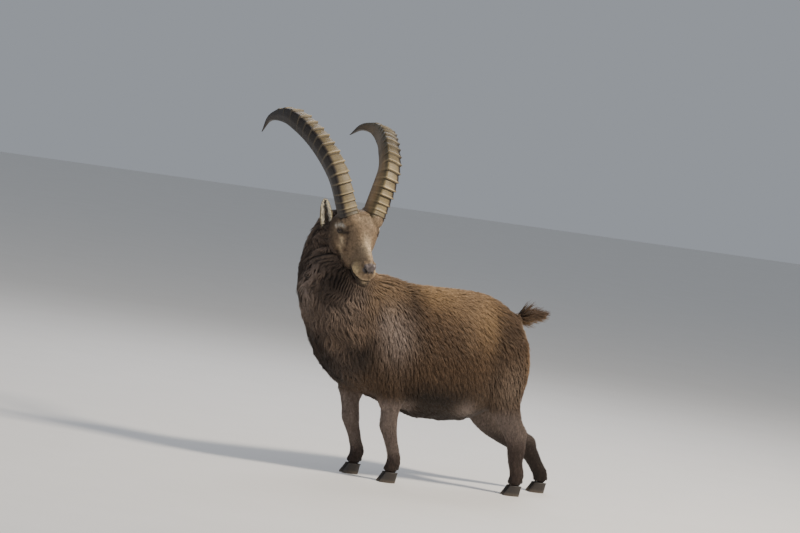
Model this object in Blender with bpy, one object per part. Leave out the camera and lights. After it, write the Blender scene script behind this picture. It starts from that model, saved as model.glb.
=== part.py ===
"""Alpine ibex buck in winter coat, standing with its head turned to its left, life size.

Metres, +Z up. The buck faces -Y, its left side is +X, and its hooves stand on z = 0.
The body is modelled whole from smooth sections, fused and relaxed, and then parted into
named pieces by thin cuts. The horns, ears, eyes and hooves are set into it.
"""

import math
import random

import bmesh
import bpy
import numpy as np
from mathutils import Matrix, Vector
from mathutils.bvhtree import BVHTree

GAP = 0.0003  # clearance between pieces that touch
SHIFT = Vector((0.1684, -0.0986, 0.0))  # moves the middle of the floor outline to the origin

# Trunk sections, front to back: y, underside z, back z, half width, share of height where widest
TRUNK = (
    (-0.480, 0.630, 0.720, 0.060, 0.5),
    (-0.455, 0.560, 0.790, 0.118, 0.5),
    (-0.400, 0.480, 0.850, 0.165, 0.5),
    (-0.300, 0.402, 0.890, 0.190, 0.5),
    (-0.170, 0.366, 0.906, 0.202, 0.48),
    (-0.050, 0.324, 0.884, 0.208, 0.46),
    (0.080, 0.296, 0.882, 0.214, 0.44),
    (0.250, 0.300, 0.884, 0.212, 0.44),
    (0.350, 0.325, 0.874, 0.196, 0.5),
    (0.430, 0.380, 0.845, 0.176, 0.55),
    (0.490, 0.450, 0.804, 0.150, 0.55),
    (0.540, 0.510, 0.750, 0.112, 0.55),
    (0.562, 0.570, 0.695, 0.055, 0.5),
)
BACK_TAPER = 0.30  # how much narrower the trunk is along the spine than along the belly

# Neck centre line from inside the chest to the nape: x, y, z, half width, half depth
NECK = (
    (0.000, -0.215, 0.600, 0.150, 0.180),
    (-0.006, -0.320, 0.720, 0.160, 0.196),
    (-0.034, -0.379, 0.840, 0.133, 0.183),
    (-0.069, -0.391, 0.940, 0.103, 0.155),
    (-0.083, -0.392, 1.020, 0.087, 0.134),
    (-0.072, -0.382, 1.080, 0.078, 0.114),
    (-0.030, -0.372, 1.118, 0.066, 0.086),
)

# Foreleg centre line, shoulder to coronet: x, y, z, half width, half depth
FORELEG = (
    (0.118, -0.215, 0.600, 0.070, 0.105),
    (0.128, -0.150, 0.480, 0.064, 0.090),
    (0.124, -0.112, 0.395, 0.053, 0.064),
    (0.112, -0.096, 0.330, 0.043, 0.044),
    (0.104, -0.091, 0.288, 0.038, 0.040),
    (0.100, -0.086, 0.252, 0.038, 0.042),
    (0.098, -0.070, 0.207, 0.031, 0.033),
    (0.097, -0.050, 0.160, 0.028, 0.030),
    (0.096, -0.036, 0.122, 0.028, 0.030),
    (0.096, -0.029, 0.096, 0.032, 0.034),
    (0.096, -0.040, 0.066, 0.029, 0.031),
    (0.096, -0.049, 0.044, 0.031, 0.033),
)
RIGHT_FORE_STEP = -0.097  # the right forefoot stands this far ahead of the left one
STEP_TOP, STEP_BOTTOM = 0.62, 0.34  # heights between which a step fades into the shoulder

# Left hind leg, hip to coronet, under the rump
HINDLEG_LEFT = (
    (0.095, 0.410, 0.680, 0.085, 0.126),
    (0.112, 0.430, 0.560, 0.086, 0.122),
    (0.121, 0.440, 0.460, 0.070, 0.100),
    (0.123, 0.466, 0.380, 0.050, 0.070),
    (0.121, 0.508, 0.315, 0.038, 0.054),
    (0.118, 0.541, 0.258, 0.035, 0.048),
    (0.115, 0.553, 0.205, 0.033, 0.044),
    (0.112, 0.558, 0.158, 0.029, 0.037),
    (0.110, 0.571, 0.118, 0.028, 0.033),
    (0.110, 0.580, 0.093, 0.031, 0.035),
    (0.110, 0.572, 0.065, 0.029, 0.032),
    (0.110, 0.564, 0.044, 0.031, 0.033),
)
HEEL_LEFT = (0.118, 0.580, 0.286)
# Right hind leg, stretched back
HINDLEG_RIGHT = (
    (-0.095, 0.395, 0.680, 0.085, 0.120),
    (-0.114, 0.430, 0.550, 0.086, 0.126),
    (-0.124, 0.462, 0.430, 0.072, 0.118),
    (-0.124, 0.522, 0.332, 0.056, 0.094),
    (-0.122, 0.614, 0.260, 0.042, 0.066),
    (-0.119, 0.702, 0.212, 0.036, 0.050),
    (-0.118, 0.748, 0.172, 0.032, 0.040),
    (-0.117, 0.782, 0.128, 0.028, 0.034),
    (-0.116, 0.803, 0.101, 0.028, 0.034),
    (-0.115, 0.815, 0.083, 0.031, 0.035),
    (-0.115, 0.812, 0.061, 0.029, 0.032),
    (-0.115, 0.804, 0.044, 0.031, 0.033),
)
HEEL_RIGHT = (-0.118, 0.748, 0.236)

TAIL = (
    (0.0, 0.465, 0.765, 0.036, 0.032),
    (0.0, 0.525, 0.794, 0.031, 0.027),
    (0.0, 0.575, 0.814, 0.026, 0.022),
    (0.0, 0.614, 0.820, 0.015, 0.012),
)
# Tips of the tail's fan of stiff hair: x, y, z
TAIL_TIPS = (
    (0.004, 0.520, 0.848),
    (-0.016, 0.536, 0.864),
    (0.012, 0.558, 0.890),
    (-0.004, 0.580, 0.868),
    (0.018, 0.598, 0.858),
    (-0.020, 0.612, 0.846),
    (0.006, 0.628, 0.836),
    (-0.010, 0.650, 0.818),
    (0.014, 0.668, 0.810),
    (0.020, 0.640, 0.800),
    (-0.018, 0.626, 0.796),
)
# Rows of hanging locks round the neck and chest: height, first and last bearing in degrees
# (0 straight ahead, 90 to the left), how many, length
RUFF_ROWS = (
    (1.030, -120, 5, 5, 0.105),
    (0.958, -126, 42, 7, 0.120),
    (0.886, -128, 62, 8, 0.128),
    (0.814, -120, 76, 8, 0.130),
    (0.742, -114, 84, 8, 0.130),
    (0.670, -102, 88, 8, 0.128),
    (0.598, -86, 82, 7, 0.120),
    (0.526, -64, 64, 5, 0.108),
    (0.458, -38, 38, 3, 0.090),
)
LOCK_SPREAD = 1.15  # how wide a lock is for the room it has in its row, so that they overlap
# Locks under the belly and behind the elbows: x, y of the root, length
FRINGE = (
    (0.055, -0.300, 0.070),
    (-0.055, -0.300, 0.070),
    (0.000, -0.320, 0.075),
    (0.030, -0.230, 0.065),
    (-0.030, -0.230, 0.065),
    (0.060, 0.010, 0.055),
    (-0.060, 0.010, 0.055),
    (0.000, 0.040, 0.055),
    (0.080, 0.110, 0.055),
    (-0.080, 0.110, 0.055),
    (0.015, 0.160, 0.055),
    (-0.035, 0.230, 0.055),
    (0.055, 0.240, 0.055),
)
ELBOWS = (
    (0.118, -0.040, 0.372),
    (0.106, -0.044, 0.352),
    (-0.118, -0.132, 0.380),
    (-0.106, -0.138, 0.355),
)
# The short dark beard under the chin, in the head's frame: a, l, h of the root, and length
BEARD = (
    (0.208, 0.000, -0.140, 0.034),
    (0.196, 0.016, -0.143, 0.042),
    (0.196, -0.016, -0.143, 0.042),
    (0.178, 0.000, -0.146, 0.048),
    (0.164, 0.018, -0.148, 0.044),
    (0.164, -0.018, -0.148, 0.044),
)

# The head's own frame starts midway between the horn bases: a runs down the nose line,
# l to the head's left, h up out of the forehead.
HEAD_AT = Vector((0.076, -0.373, 1.141))
HEAD_TURN, HEAD_PITCH, HEAD_ROLL = (math.radians(v) for v in (91.0, 38.0, 2.5))
HEAD_SCALE = 1.11
# Head sections: a, underside h, ridge h, half width, share of height where widest, ridge taper
HEAD = (
    (-0.084, -0.124, -0.060, 0.046, 0.5, 0.1),
    (-0.070, -0.150, -0.030, 0.068, 0.5, 0.1),
    (-0.042, -0.168, 0.004, 0.080, 0.55, 0.15),
    (-0.010, -0.172, 0.034, 0.083, 0.60, 0.18),
    (0.030, -0.170, 0.048, 0.081, 0.64, 0.12),
    (0.066, -0.170, 0.036, 0.073, 0.68, 0.10),
    (0.100, -0.162, 0.015, 0.061, 0.70, 0.16),
    (0.132, -0.152, -0.002, 0.044, 0.58, 0.38),
    (0.164, -0.146, -0.008, 0.041, 0.46, 0.46),
    (0.192, -0.141, -0.013, 0.040, 0.40, 0.46),
    (0.216, -0.136, -0.019, 0.037, 0.40, 0.42),
    (0.236, -0.128, -0.029, 0.030, 0.42, 0.30),
    (0.250, -0.114, -0.046, 0.019, 0.45, 0.20),
)
# Rounded forms of one side of the head: centre and radii, mirrored to the other side
HEAD_FORMS = (
    ((0.038, 0.060, -0.020), (0.036, 0.026, 0.026)),
    ((0.010, 0.058, -0.100), (0.060, 0.028, 0.050)),
    ((0.221, 0.016, -0.050), (0.026, 0.014, 0.020)),
    ((0.200, 0.026, -0.088), (0.040, 0.020, 0.022)),
    ((0.225, 0.014, -0.084), (0.027, 0.020, 0.020)),
    ((-0.004, 0.050, 0.012), (0.048, 0.040, 0.030)),
    ((0.020, 0.055, 0.024), (0.044, 0.042, 0.034)),
    ((0.090, 0.030, -0.115), (0.075, 0.026, 0.036)),
)
EYE = Vector((0.042, 0.0730, -0.035))  # the left eye's centre in the head's frame
EYE_RADIUS = 0.0150
EAR_ROOT = Vector((-0.045, 0.083, -0.112))
EAR_LENGTH, EAR_WIDTH, EAR_WALL = 0.138, 0.057, 0.0030
# The way each ear points and the way its cup opens: forward, out and up
EAR_AIM = {
    1: ((-0.47, 0.75, 0.47), (0.70, 0.60, -0.30)),
    -1: ((-0.06, 0.17, 0.98), (0.88, 0.42, 0.0)),
}
HORN_ROOT = Vector((0.019, 0.061, 0.028))  # forward, out and up from the head's frame
# Back, out and up from the root, for the left horn and the right one, which stands higher
HORN_CURVES = {
    1: (
        (0.000, 0.000, 0.000),
        (0.020, 0.054, 0.188),
        (0.147, 0.098, 0.291),
        (0.337, 0.160, 0.330),
        (0.478, 0.178, 0.353),
        (0.591, 0.168, 0.347),
        (0.690, 0.160, 0.305),
    ),
    -1: (
        (0.000, 0.010, 0.000),
        (0.032, 0.068, 0.166),
        (0.148, 0.120, 0.289),
        (0.311, 0.159, 0.364),
        (0.471, 0.162, 0.371),
        (0.606, 0.160, 0.345),
        (0.684, 0.157, 0.280),
    ),
}
HORN_WIDTH, HORN_DEPTH = 0.077, 0.101  # across the front face, and front to back
HORN_TURN = {1: math.radians(14.0), -1: math.radians(2.0)}  # how far each front face looks outward
# Where the lips of the knobs stand, as shares of each horn's length
HORN_LIPS = {
    1: (0.051, 0.091, 0.125, 0.164, 0.198, 0.235, 0.274, 0.320, 0.368, 0.420, 0.478, 0.545, 0.625, 0.720),
    -1: (0.045, 0.083, 0.129, 0.168, 0.211, 0.259, 0.308, 0.355, 0.403, 0.455, 0.510, 0.580, 0.660, 0.745),
}
HOOF_LENGTH, HOOF_WIDTH, HOOF_HEIGHT = 0.072, 0.030, 0.047
FEET_END = HOOF_HEIGHT + GAP  # the legs end here

# Along a lock: share of its length, share of its width
LOCK_OUTLINE = ((0.0, 0.70), (0.36, 1.0), (0.74, 0.62), (1.0, 0.05))
LOCK_HEIGHTS = (-0.017, 0.000, 0.007)  # height over the coat's core at a lock's root, middle and tip

BODY_TRIANGLES, HEAD_TRIANGLES = 3600, 2000

# Thin cuts through the whole body: centre, direction across the cut, size of the cut
CUTS = {
    "neck from torso": ((0.0, -0.340, 0.752), (0, -0.667, 0.745), (0.9, 0.9)),
    "head from neck": ((0.0, -0.380, 1.065), (0.845, 0.0, 0.534), (0.40, 0.38)),
    "tail": ((0.0, 0.520, 0.797), (0, 0.90, 0.43), (0.09, 0.09)),
    "foreleg_left": ((0.112, -0.096, 0.328), (0, 0, 1), (0.15, 0.17)),
    "foreleg_right": ((-0.112, -0.193, 0.328), (0, 0, 1), (0.15, 0.17)),
    "hindleg_left": ((0.125, 0.475, 0.353), (0, 0, 1), (0.20, 0.22)),
    "hindleg_right": ((-0.125, 0.500, 0.353), (0, 0, 1), (0.20, 0.30)),
}
# Where the middle of each parted piece lies, to name it
PIECES = {
    "torso": (0.0, 0.10, 0.58),
    "neck": (-0.03, -0.36, 0.84),
    "head": (0.10, -0.38, 1.05),
    "tail": (0.0, 0.57, 0.82),
    "foreleg_left": (0.10, -0.06, 0.17),
    "foreleg_right": (-0.10, -0.16, 0.17),
    "hindleg_left": (0.11, 0.56, 0.17),
    "hindleg_right": (-0.12, 0.76, 0.14),
}


def clear_scene():
    """Starts from an empty scene."""
    for obj in list(bpy.data.objects):
        bpy.data.objects.remove(obj)


def material(name, colour, roughness, metallic=0.0):
    """A plain finish: base colour in linear RGB, roughness and metallic value."""
    made = bpy.data.materials.new(name)
    made.use_nodes = True
    shader = made.node_tree.nodes["Principled BSDF"]
    shader.inputs["Base Color"].default_value = (*colour, 1.0)
    shader.inputs["Roughness"].default_value = roughness
    shader.inputs["Metallic"].default_value = metallic
    return made


def add_object(name, mesh, finish=None):
    """Links a mesh as a named object."""
    obj = bpy.data.objects.new(name, mesh)
    bpy.context.scene.collection.objects.link(obj)
    if finish:
        mesh.materials.clear()
        mesh.materials.append(finish)
    return obj


def smooth_rows(rows, steps):
    """Reads extra rows between the given ones on a Catmull-Rom curve."""
    rows = np.array(rows, float)
    ends = np.vstack([2 * rows[0] - rows[1], rows, 2 * rows[-1] - rows[-2]])
    out = []
    for i in range(len(rows) - 1):
        p0, p1, p2, p3 = ends[i : i + 4]
        for t in np.linspace(0, 1, steps, endpoint=False):
            out.append(
                0.5 * (2 * p1 + (p2 - p0) * t + (2 * p0 - 5 * p1 + 4 * p2 - p3) * t**2 + (3 * p1 - p0 - 3 * p2 + p3) * t**3)
            )
    out.append(rows[-1])
    return np.array(out)


def loft(rings):
    """A closed mesh through rings of equal count, its two ends filled by fans."""
    rings = np.asarray(rings, float)
    count, around = rings.shape[:2]
    points = [tuple(p) for ring in rings for p in ring]
    faces = []
    for i in range(count - 1):
        for j in range(around):
            k = (j + 1) % around
            faces.append((i * around + j, i * around + k, (i + 1) * around + k, (i + 1) * around + j))
    for ring, base in ((rings[0], 0), (rings[-1], (count - 1) * around)):
        points.append(tuple(ring.mean(0)))
        middle = len(points) - 1
        faces += [(base + j, base + (j + 1) % around, middle) for j in range(around)]
    mesh = bpy.data.meshes.new("loft")
    mesh.from_pydata(points, [], faces)
    outward(mesh)
    return mesh


def outward(mesh):
    """Turns every face of a closed mesh outward."""
    work = bmesh.new()
    work.from_mesh(mesh)
    bmesh.ops.recalc_face_normals(work, faces=work.faces)
    work.to_mesh(mesh)
    work.free()


def section(around, half_width, low, high, widest, taper):
    """An egg-shaped section as (sideways, up) pairs, narrower towards its top by taper."""
    angles = np.linspace(0, 2 * math.pi, around, endpoint=False)
    middle = low + widest * (high - low)
    up = np.sin(angles)
    rise = np.where(up > 0, (high - middle) * up, (middle - low) * up)
    side = half_width * np.cos(angles) * (1 - taper * np.clip(up, 0, 1))
    return np.stack([side, middle + rise], 1)


def trunk_mesh():
    """The barrel of the body with its winter coat, from chest to rump."""
    rings = []
    for y, low, high, half_width, widest in smooth_rows(TRUNK, 5):
        pairs = section(48, half_width, low, high, widest, BACK_TAPER)
        rings.append([(x, y, z) for x, z in pairs])
    return loft(rings)


def limb_mesh(rows, steps=4, around=20):
    """A round limb through rows of x, y, z, half width, half depth, its width kept along X."""
    rows = smooth_rows(rows, steps)
    tangents = np.gradient(rows[:, :3], axis=0)
    rings = []
    for row, tangent in zip(rows, tangents):
        forward = Vector(tangent).normalized()
        side = (Vector((1, 0, 0)) - forward * forward.x).normalized()
        depth = forward.cross(side)
        ring = []
        for j in range(around):
            angle = 2 * math.pi * j / around
            ring.append(Vector(row[:3]) + side * (row[3] * math.cos(angle)) + depth * (row[4] * math.sin(angle)))
        rings.append(ring)
    return loft(rings)


def foreleg_rows(side):
    """The foreleg's rows on one side, the right one a step ahead."""
    step = 0.0 if side > 0 else RIGHT_FORE_STEP
    rows = []
    for x, y, z, half_width, half_depth in FORELEG:
        fade = min(max((STEP_TOP - z) / (STEP_TOP - STEP_BOTTOM), 0), 1)
        rows.append((side * x, y + step * fade, z, half_width, half_depth))
    return rows


def hock_mesh(rows, heel):
    """The heel of the hock with its tendon, a wedge behind the joint."""
    low, high, heel = Vector(rows[6][:3]), Vector(rows[4][:3]), Vector(heel)
    tendon = heel.lerp(high, 0.55) + Vector((0, 0.012, 0.014))
    return limb_mesh(
        ((*low, 0.020, 0.022), (*heel.lerp(low, 0.35), 0.019, 0.022), (*heel, 0.016, 0.018), (*tendon, 0.012, 0.016), (*high, 0.012, 0.016)),
        3,
        12,
    )


def join_meshes(name, meshes):
    """One object holding several closed meshes, not yet fused."""
    work = bmesh.new()
    for mesh in meshes:
        work.from_mesh(mesh)
    whole = bpy.data.meshes.new(name)
    work.to_mesh(whole)
    work.free()
    return add_object(name, whole)


def apply_modifiers(obj):
    """Keeps the evaluated shape as the object's own mesh."""
    graph = bpy.context.evaluated_depsgraph_get()
    made = bpy.data.meshes.new_from_object(obj.evaluated_get(graph))
    obj.modifiers.clear()
    obj.data = made
    return obj


def fuse(obj, voxel, rounds, triangles):
    """Fuses overlapping closed meshes into one relaxed skin of about so many triangles."""
    remesh = obj.modifiers.new("fuse", "REMESH")
    remesh.mode = "VOXEL"
    remesh.voxel_size = voxel
    relax = obj.modifiers.new("relax", "SMOOTH")
    relax.factor = 0.5
    relax.iterations = rounds
    apply_modifiers(obj)
    thin = obj.modifiers.new("thin", "DECIMATE")
    thin.ratio = min(1.0, triangles / (2 * len(obj.data.polygons)))
    apply_modifiers(obj)
    triangulate(obj)
    return obj


def triangulate(obj):
    """Splits every face into triangles."""
    work = bmesh.new()
    work.from_mesh(obj.data)
    bmesh.ops.triangulate(work, faces=work.faces)
    work.to_mesh(obj.data)
    work.free()


def boolean(obj, operation, other, solver="EXACT", collection=False):
    """Applies one Boolean with another object, or with a collection of them, and removes those."""
    cut = obj.modifiers.new(operation.lower(), "BOOLEAN")
    cut.operation = operation
    cut.solver = solver
    if collection:
        cut.operand_type = "COLLECTION"
        cut.collection = other
    else:
        cut.object = other
    apply_modifiers(obj)
    if collection:
        for member in list(other.objects):
            bpy.data.objects.remove(member)
        bpy.data.collections.remove(other)
    else:
        bpy.data.objects.remove(other)
    return obj


def loose_parts(mesh):
    """The mesh's separate closed surfaces, as (volume, centre, mesh), largest first."""
    work = bmesh.new()
    work.from_mesh(mesh)
    work.verts.ensure_lookup_table()
    seen = set()
    found = []
    for start in work.verts:
        if start.index in seen:
            continue
        group = {start.index}
        front = [start]
        while front:
            vert = front.pop()
            for edge in vert.link_edges:
                other = edge.other_vert(vert)
                if other.index not in group:
                    group.add(other.index)
                    front.append(other)
        seen |= group
        found.append(group)
    parts = []
    for group in found:
        piece = work.copy()
        piece.verts.ensure_lookup_table()
        bmesh.ops.delete(piece, geom=[v for v in piece.verts if v.index not in group], context="VERTS")
        made = bpy.data.meshes.new("piece")
        piece.to_mesh(made)
        volume = piece.calc_volume()
        centre = sum((v.co for v in piece.verts), Vector()) / max(1, len(piece.verts))
        parts.append((volume, centre, made))
        piece.free()
    work.free()
    return sorted(parts, key=lambda part: -part[0])


def keep_largest(obj):
    """Drops every loose scrap and sealed hollow."""
    obj.data = loose_parts(obj.data)[0][2]
    return obj


def head_matrix():
    """Places the head's own frame in the world."""
    forward = Vector((math.sin(HEAD_TURN), -math.cos(HEAD_TURN), 0))
    up = Vector((0, 0, 1))
    left = up.cross(forward)
    rolled_left = left * math.cos(HEAD_ROLL) + up * math.sin(HEAD_ROLL)
    rolled_up = up * math.cos(HEAD_ROLL) - left * math.sin(HEAD_ROLL)
    nose = forward * math.cos(HEAD_PITCH) - rolled_up * math.sin(HEAD_PITCH)
    crown = forward * math.sin(HEAD_PITCH) + rolled_up * math.cos(HEAD_PITCH)
    columns = Matrix((nose, rolled_left, crown)).transposed().to_4x4()
    return Matrix.Translation(HEAD_AT) @ columns @ Matrix.Scale(HEAD_SCALE, 4)


def ball(centre, radii, turn=None, segments=16, rings=10):
    """An ellipsoid as a closed mesh."""
    work = bmesh.new()
    bmesh.ops.create_uvsphere(work, u_segments=segments, v_segments=rings, radius=1.0)
    frame = Matrix.Diagonal((*radii, 1.0))
    if turn:
        frame = turn.to_4x4() @ frame
    bmesh.ops.transform(work, matrix=Matrix.Translation(centre) @ frame, verts=work.verts)
    mesh = bpy.data.meshes.new("ball")
    work.to_mesh(mesh)
    work.free()
    return mesh


def head_core():
    """The skull with its brows, cheeks, lips, nose wings and chin, in the head's frame."""
    rings = []
    for a, low, high, half_width, widest, taper in smooth_rows(HEAD, 4):
        rings.append([(a, side, h) for side, h in section(36, half_width, low, high, widest, taper)])
    meshes = [loft(rings)]
    for side in (1, -1):
        for centre, radii in HEAD_FORMS:
            meshes.append(ball((centre[0], side * centre[1], centre[2]), radii))
    meshes.append(ball((0.223, 0.0, -0.127), (0.029, 0.027, 0.019)))
    return meshes


def mouth_cutter(side):
    """A thin wedge along the line of the mouth on one side."""
    line = ((0.166, 0.058, -0.112), (0.190, 0.054, -0.110), (0.218, 0.046, -0.105), (0.243, 0.026, -0.101), (0.264, -0.002, -0.099))
    deep = ((0.174, 0.035, -0.111), (0.190, 0.034, -0.109), (0.212, 0.027, -0.104), (0.230, 0.012, -0.101), (0.239, -0.002, -0.099))
    half = (0.0010, 0.0018, 0.0020, 0.0020, 0.0020)
    rings = []
    for outer, inner, thick in zip(line, deep, half):
        out, into = Vector(outer), Vector(inner)
        rise = Vector((0, 0, thick))
        rings.append([out + rise * 1.6, into + rise * 0.4, into - rise * 0.4, out - rise * 1.6])
    return loft([[Vector((p.x, side * p.y, p.z)) for p in ring] for ring in rings])


def nostril_cutter(side):
    """A comma-shaped hole that runs back and inward from the nose wing."""
    return ball(
        (0.2450, side * 0.0185, -0.057),
        (0.0150, 0.0060, 0.0052),
        Matrix.Rotation(side * -0.60, 3, "Z") @ Matrix.Rotation(0.10, 3, "Y"),
        12,
        8,
    )


def eye_axis(side):
    """The way an eye looks, in the head's frame."""
    return Vector((0.45, side * 0.82, 0.20)).normalized()


def eye_opening(side):
    """An almond-shaped hole through the lids."""
    centre = Vector((EYE.x, side * EYE.y, EYE.z))
    look = eye_axis(side)
    level = Vector((0.80, 0, 0.60))
    along = (level - look * look.dot(level)).normalized()
    over = look.cross(along)
    rings = []
    for depth in (0.006, 0.030):
        ring = []
        for j in range(14):
            angle = 2 * math.pi * j / 14
            squeeze = 0.0066 * abs(math.sin(angle)) ** 1.2 * math.copysign(1, math.sin(angle))
            ring.append(centre + look * depth + along * (0.0128 * math.cos(angle)) + over * squeeze)
        rings.append(ring)
    return loft(rings)


def horn_line(side, count=200):
    """One horn's centre line, evenly spaced, and its length, as if it stood on the left.

    Given in an upright copy of the head's frame: forward, left, up.
    """
    fine = smooth_rows(HORN_CURVES[side], 60)
    along = np.concatenate([[0], np.cumsum(np.linalg.norm(np.diff(fine, axis=0), axis=1))])
    even = np.linspace(0, along[-1], count)
    back, out, up = (np.interp(even, along, fine[:, i]) for i in range(3))
    return np.stack([-back, out, up], 1), along[-1]


def horn_path(spots, t):
    """A point of the horn's centre line at t from 0 (root) to 1 (tip)."""
    place = t * (len(spots) - 1)
    low = min(int(place), len(spots) - 2)
    return Vector(spots[low] + (spots[low + 1] - spots[low]) * (place - low))


def upright_matrix():
    """The head's frame turned and rolled but not pitched: forward, left, up."""
    forward = Vector((math.sin(HEAD_TURN), -math.cos(HEAD_TURN), 0))
    up = Vector((0, 0, 1))
    left = up.cross(forward)
    rolled_left = left * math.cos(HEAD_ROLL) + up * math.sin(HEAD_ROLL)
    rolled_up = up * math.cos(HEAD_ROLL) - left * math.sin(HEAD_ROLL)
    return Matrix((forward, rolled_left, rolled_up)).transposed()


def horn_section(around, width, depth):
    """A horn's cross-section, (across, front) pairs: a broad flat front and a narrower back."""
    pairs = []
    for j in range(around):
        angle = 2 * math.pi * j / around
        front = math.sin(angle)
        across = math.cos(angle)
        square = max(abs(front), abs(across)) ** 0.62
        narrow = 1.0 if front > 0 else 1.0 + 0.28 * front
        pairs.append((0.5 * width * across * narrow / square, 0.5 * depth * front / square))
    return pairs


def horn_mesh(side, around=10):
    """One horn, curved back and out, with raised knobs across its front face."""
    frame = upright_matrix()
    root = HEAD_AT + frame @ Vector((HORN_ROOT.x, side * HORN_ROOT.y, HORN_ROOT.z))
    line, length = horn_line(side)
    # Rings at shares of the length, with how far each stands out in front
    stations = [(-0.065, 0.0), (-0.034, 0.0), (0.012, 0.30), (0.036, 0.10)]
    for lip, following in zip(HORN_LIPS[side], HORN_LIPS[side][1:] + (0.800,)):
        stations += [(lip - 0.004, 0.0), (lip, 0.95), (lip + 0.5 * (following - lip), 0.42)]
    shares = [share for share, _ in stations] + [0.84, 0.88, 0.92, 0.955, 0.985, 1.0]
    rises = [rise for _, rise in stations] + [0.0] * 6
    rings = []
    for share, rise in zip(shares, rises):
        spot = horn_path(line, max(share, 0.0))
        ahead, behind = horn_path(line, min(1.0, max(share, 0) + 0.02)), horn_path(line, max(0.0, share - 0.02))
        tangent = (ahead - behind).normalized()
        if share < 0:
            spot = spot + tangent * (share * length)
        front = Vector((0, 1, 0)).cross(tangent).normalized()
        across = tangent.cross(front).normalized()
        if across.y < 0:
            across = -across
        turn = HORN_TURN[side]
        front, across = front * math.cos(turn) + across * math.sin(turn), across * math.cos(turn) - front * math.sin(turn)
        grown = max(share, 0.0)
        late = max(0.0, (share - 0.54) / 0.46)
        thick = (1 - 0.32 * grown**1.4) * (1 - late**1.55 * 0.93)
        thick *= 1.0 if share > -0.035 else 0.70
        rise *= 0.0105 * (1 - 0.35 * grown)
        ring = []
        for across_half, front_half in horn_section(around, HORN_WIDTH * thick, HORN_DEPTH * thick):
            forward = max(0.0, front_half / (HORN_DEPTH * thick * 0.5))
            bump = rise * forward**0.8
            wide = 1 + 0.10 * forward * (rise / 0.010)
            point = spot + across * (across_half * wide) + front * (front_half + bump)
            ring.append(root + frame @ Vector((point.x, side * point.y, point.z)))
        rings.append(ring)
    return loft(rings)


def ear_mesh(side):
    """One ear: a leaf rolled into a cup that opens forward, its wall thin but closed."""
    root = Vector((EAR_ROOT.x, side * EAR_ROOT.y, EAR_ROOT.z))
    base = head_matrix() @ root
    frame = upright_matrix()
    axis, opening = (Vector(way) for way in EAR_AIM[side])
    axis.normalize()
    opening = (opening - axis * axis.dot(opening)).normalized()
    wide = axis.cross(opening)
    rings = []
    for n, t in enumerate(np.linspace(-0.10, 1.0, 10)):
        leaf = math.sin(math.pi * min(1.0, 0.16 + 0.84 * max(t, 0.0) ** 0.9)) ** 0.46 if t < 1 else 0.0
        half = max(0.0035, 0.5 * EAR_WIDTH * (0.45 if t < 0.02 else leaf))
        curl = 2.5 - 1.3 * max(t, 0)
        bend = opening * (0.012 * t * t)
        ring_out, ring_in = [], []
        for a in np.linspace(-1, 1, 7):
            angle = a * curl / 2
            radius = half / max(math.sin(min(curl / 2, math.pi / 2)), 0.3)
            across = radius * math.sin(angle)
            sink = radius * (math.cos(angle) - math.cos(curl / 2))
            spot = axis * (EAR_LENGTH * t) + bend
            ring_out.append(spot + wide * across - opening * sink)
            thin = EAR_WALL * (1.0 if t > 0.05 else 2.6) * (1 - 0.5 * abs(a))
            scale = max(0.0, 1 - thin / radius)
            ring_in.append(spot + wide * (across * scale) - opening * (sink - thin))
        rings.append([base + frame @ Vector((p.x, side * p.y, p.z)) for p in ring_out + ring_in[::-1]])
    return loft(rings)


def hull_seat(mesh, count):
    """The hull around a piece's first points, a little wider, to clear its seat in the head."""
    low = [vert.co.copy() for vert in list(mesh.vertices)[:count]]
    hull = bmesh.new()
    for spot in low:
        hull.verts.new(spot)
    made = bmesh.ops.convex_hull(hull, input=hull.verts)
    unused = {item for item in made["geom_interior"] + made["geom_unused"] if isinstance(item, bmesh.types.BMVert)}
    bmesh.ops.delete(hull, geom=sorted(unused, key=lambda vert: vert.index), context="VERTS")
    bmesh.ops.recalc_face_normals(hull, faces=hull.faces)
    hull.normal_update()
    moves = [(vert, vert.normal * (3 * GAP)) for vert in hull.verts]
    for vert, move in moves:
        vert.co += move
    seat = bpy.data.meshes.new("seat")
    hull.to_mesh(seat)
    hull.free()
    return seat


def hoof_mesh(x, y, toe):
    """One half of a cloven hoof: flat sole on the floor, steep sloping front, rounded toe."""
    outline = []
    for j in range(10):
        angle = 2 * math.pi * j / 10
        along = math.cos(angle)
        across = math.sin(angle)
        outline.append((across * (0.5 if along > 0 else 0.46) * HOOF_WIDTH, -along * 0.5 * HOOF_LENGTH * toe))
    rings = []
    for height, scale, back in ((0.0, 1.0, 0.0), (0.006, 1.02, 0.001), (HOOF_HEIGHT * 0.6, 0.86, 0.010), (HOOF_HEIGHT, 0.72, 0.017)):
        rings.append([(x + px * (0.6 + 0.4 * scale), y + back + py * scale, height) for px, py in outline])
    return loft(rings)


def head_mesh():
    """The head in its own frame with lids, eye openings, nostrils and mouth line."""
    head = join_meshes("head_core", head_core())
    fuse(head, 0.0045, 4, HEAD_TRIANGLES)
    for side in (1, -1):
        centre = Vector((EYE.x, side * EYE.y, EYE.z))
        boolean(head, "UNION", add_object("lid", ball(centre, (EYE_RADIUS + 0.0042,) * 3, None, 16, 10)))
        boolean(head, "DIFFERENCE", add_object("opening", eye_opening(side)))
        boolean(head, "DIFFERENCE", add_object("socket", ball(centre, (EYE_RADIUS + GAP,) * 3, None, 12, 9)))
        boolean(head, "DIFFERENCE", add_object("nostril", nostril_cutter(side)))
        boolean(head, "DIFFERENCE", add_object("mouth", mouth_cutter(side)))
    head.data.transform(head_matrix())
    return head


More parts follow.
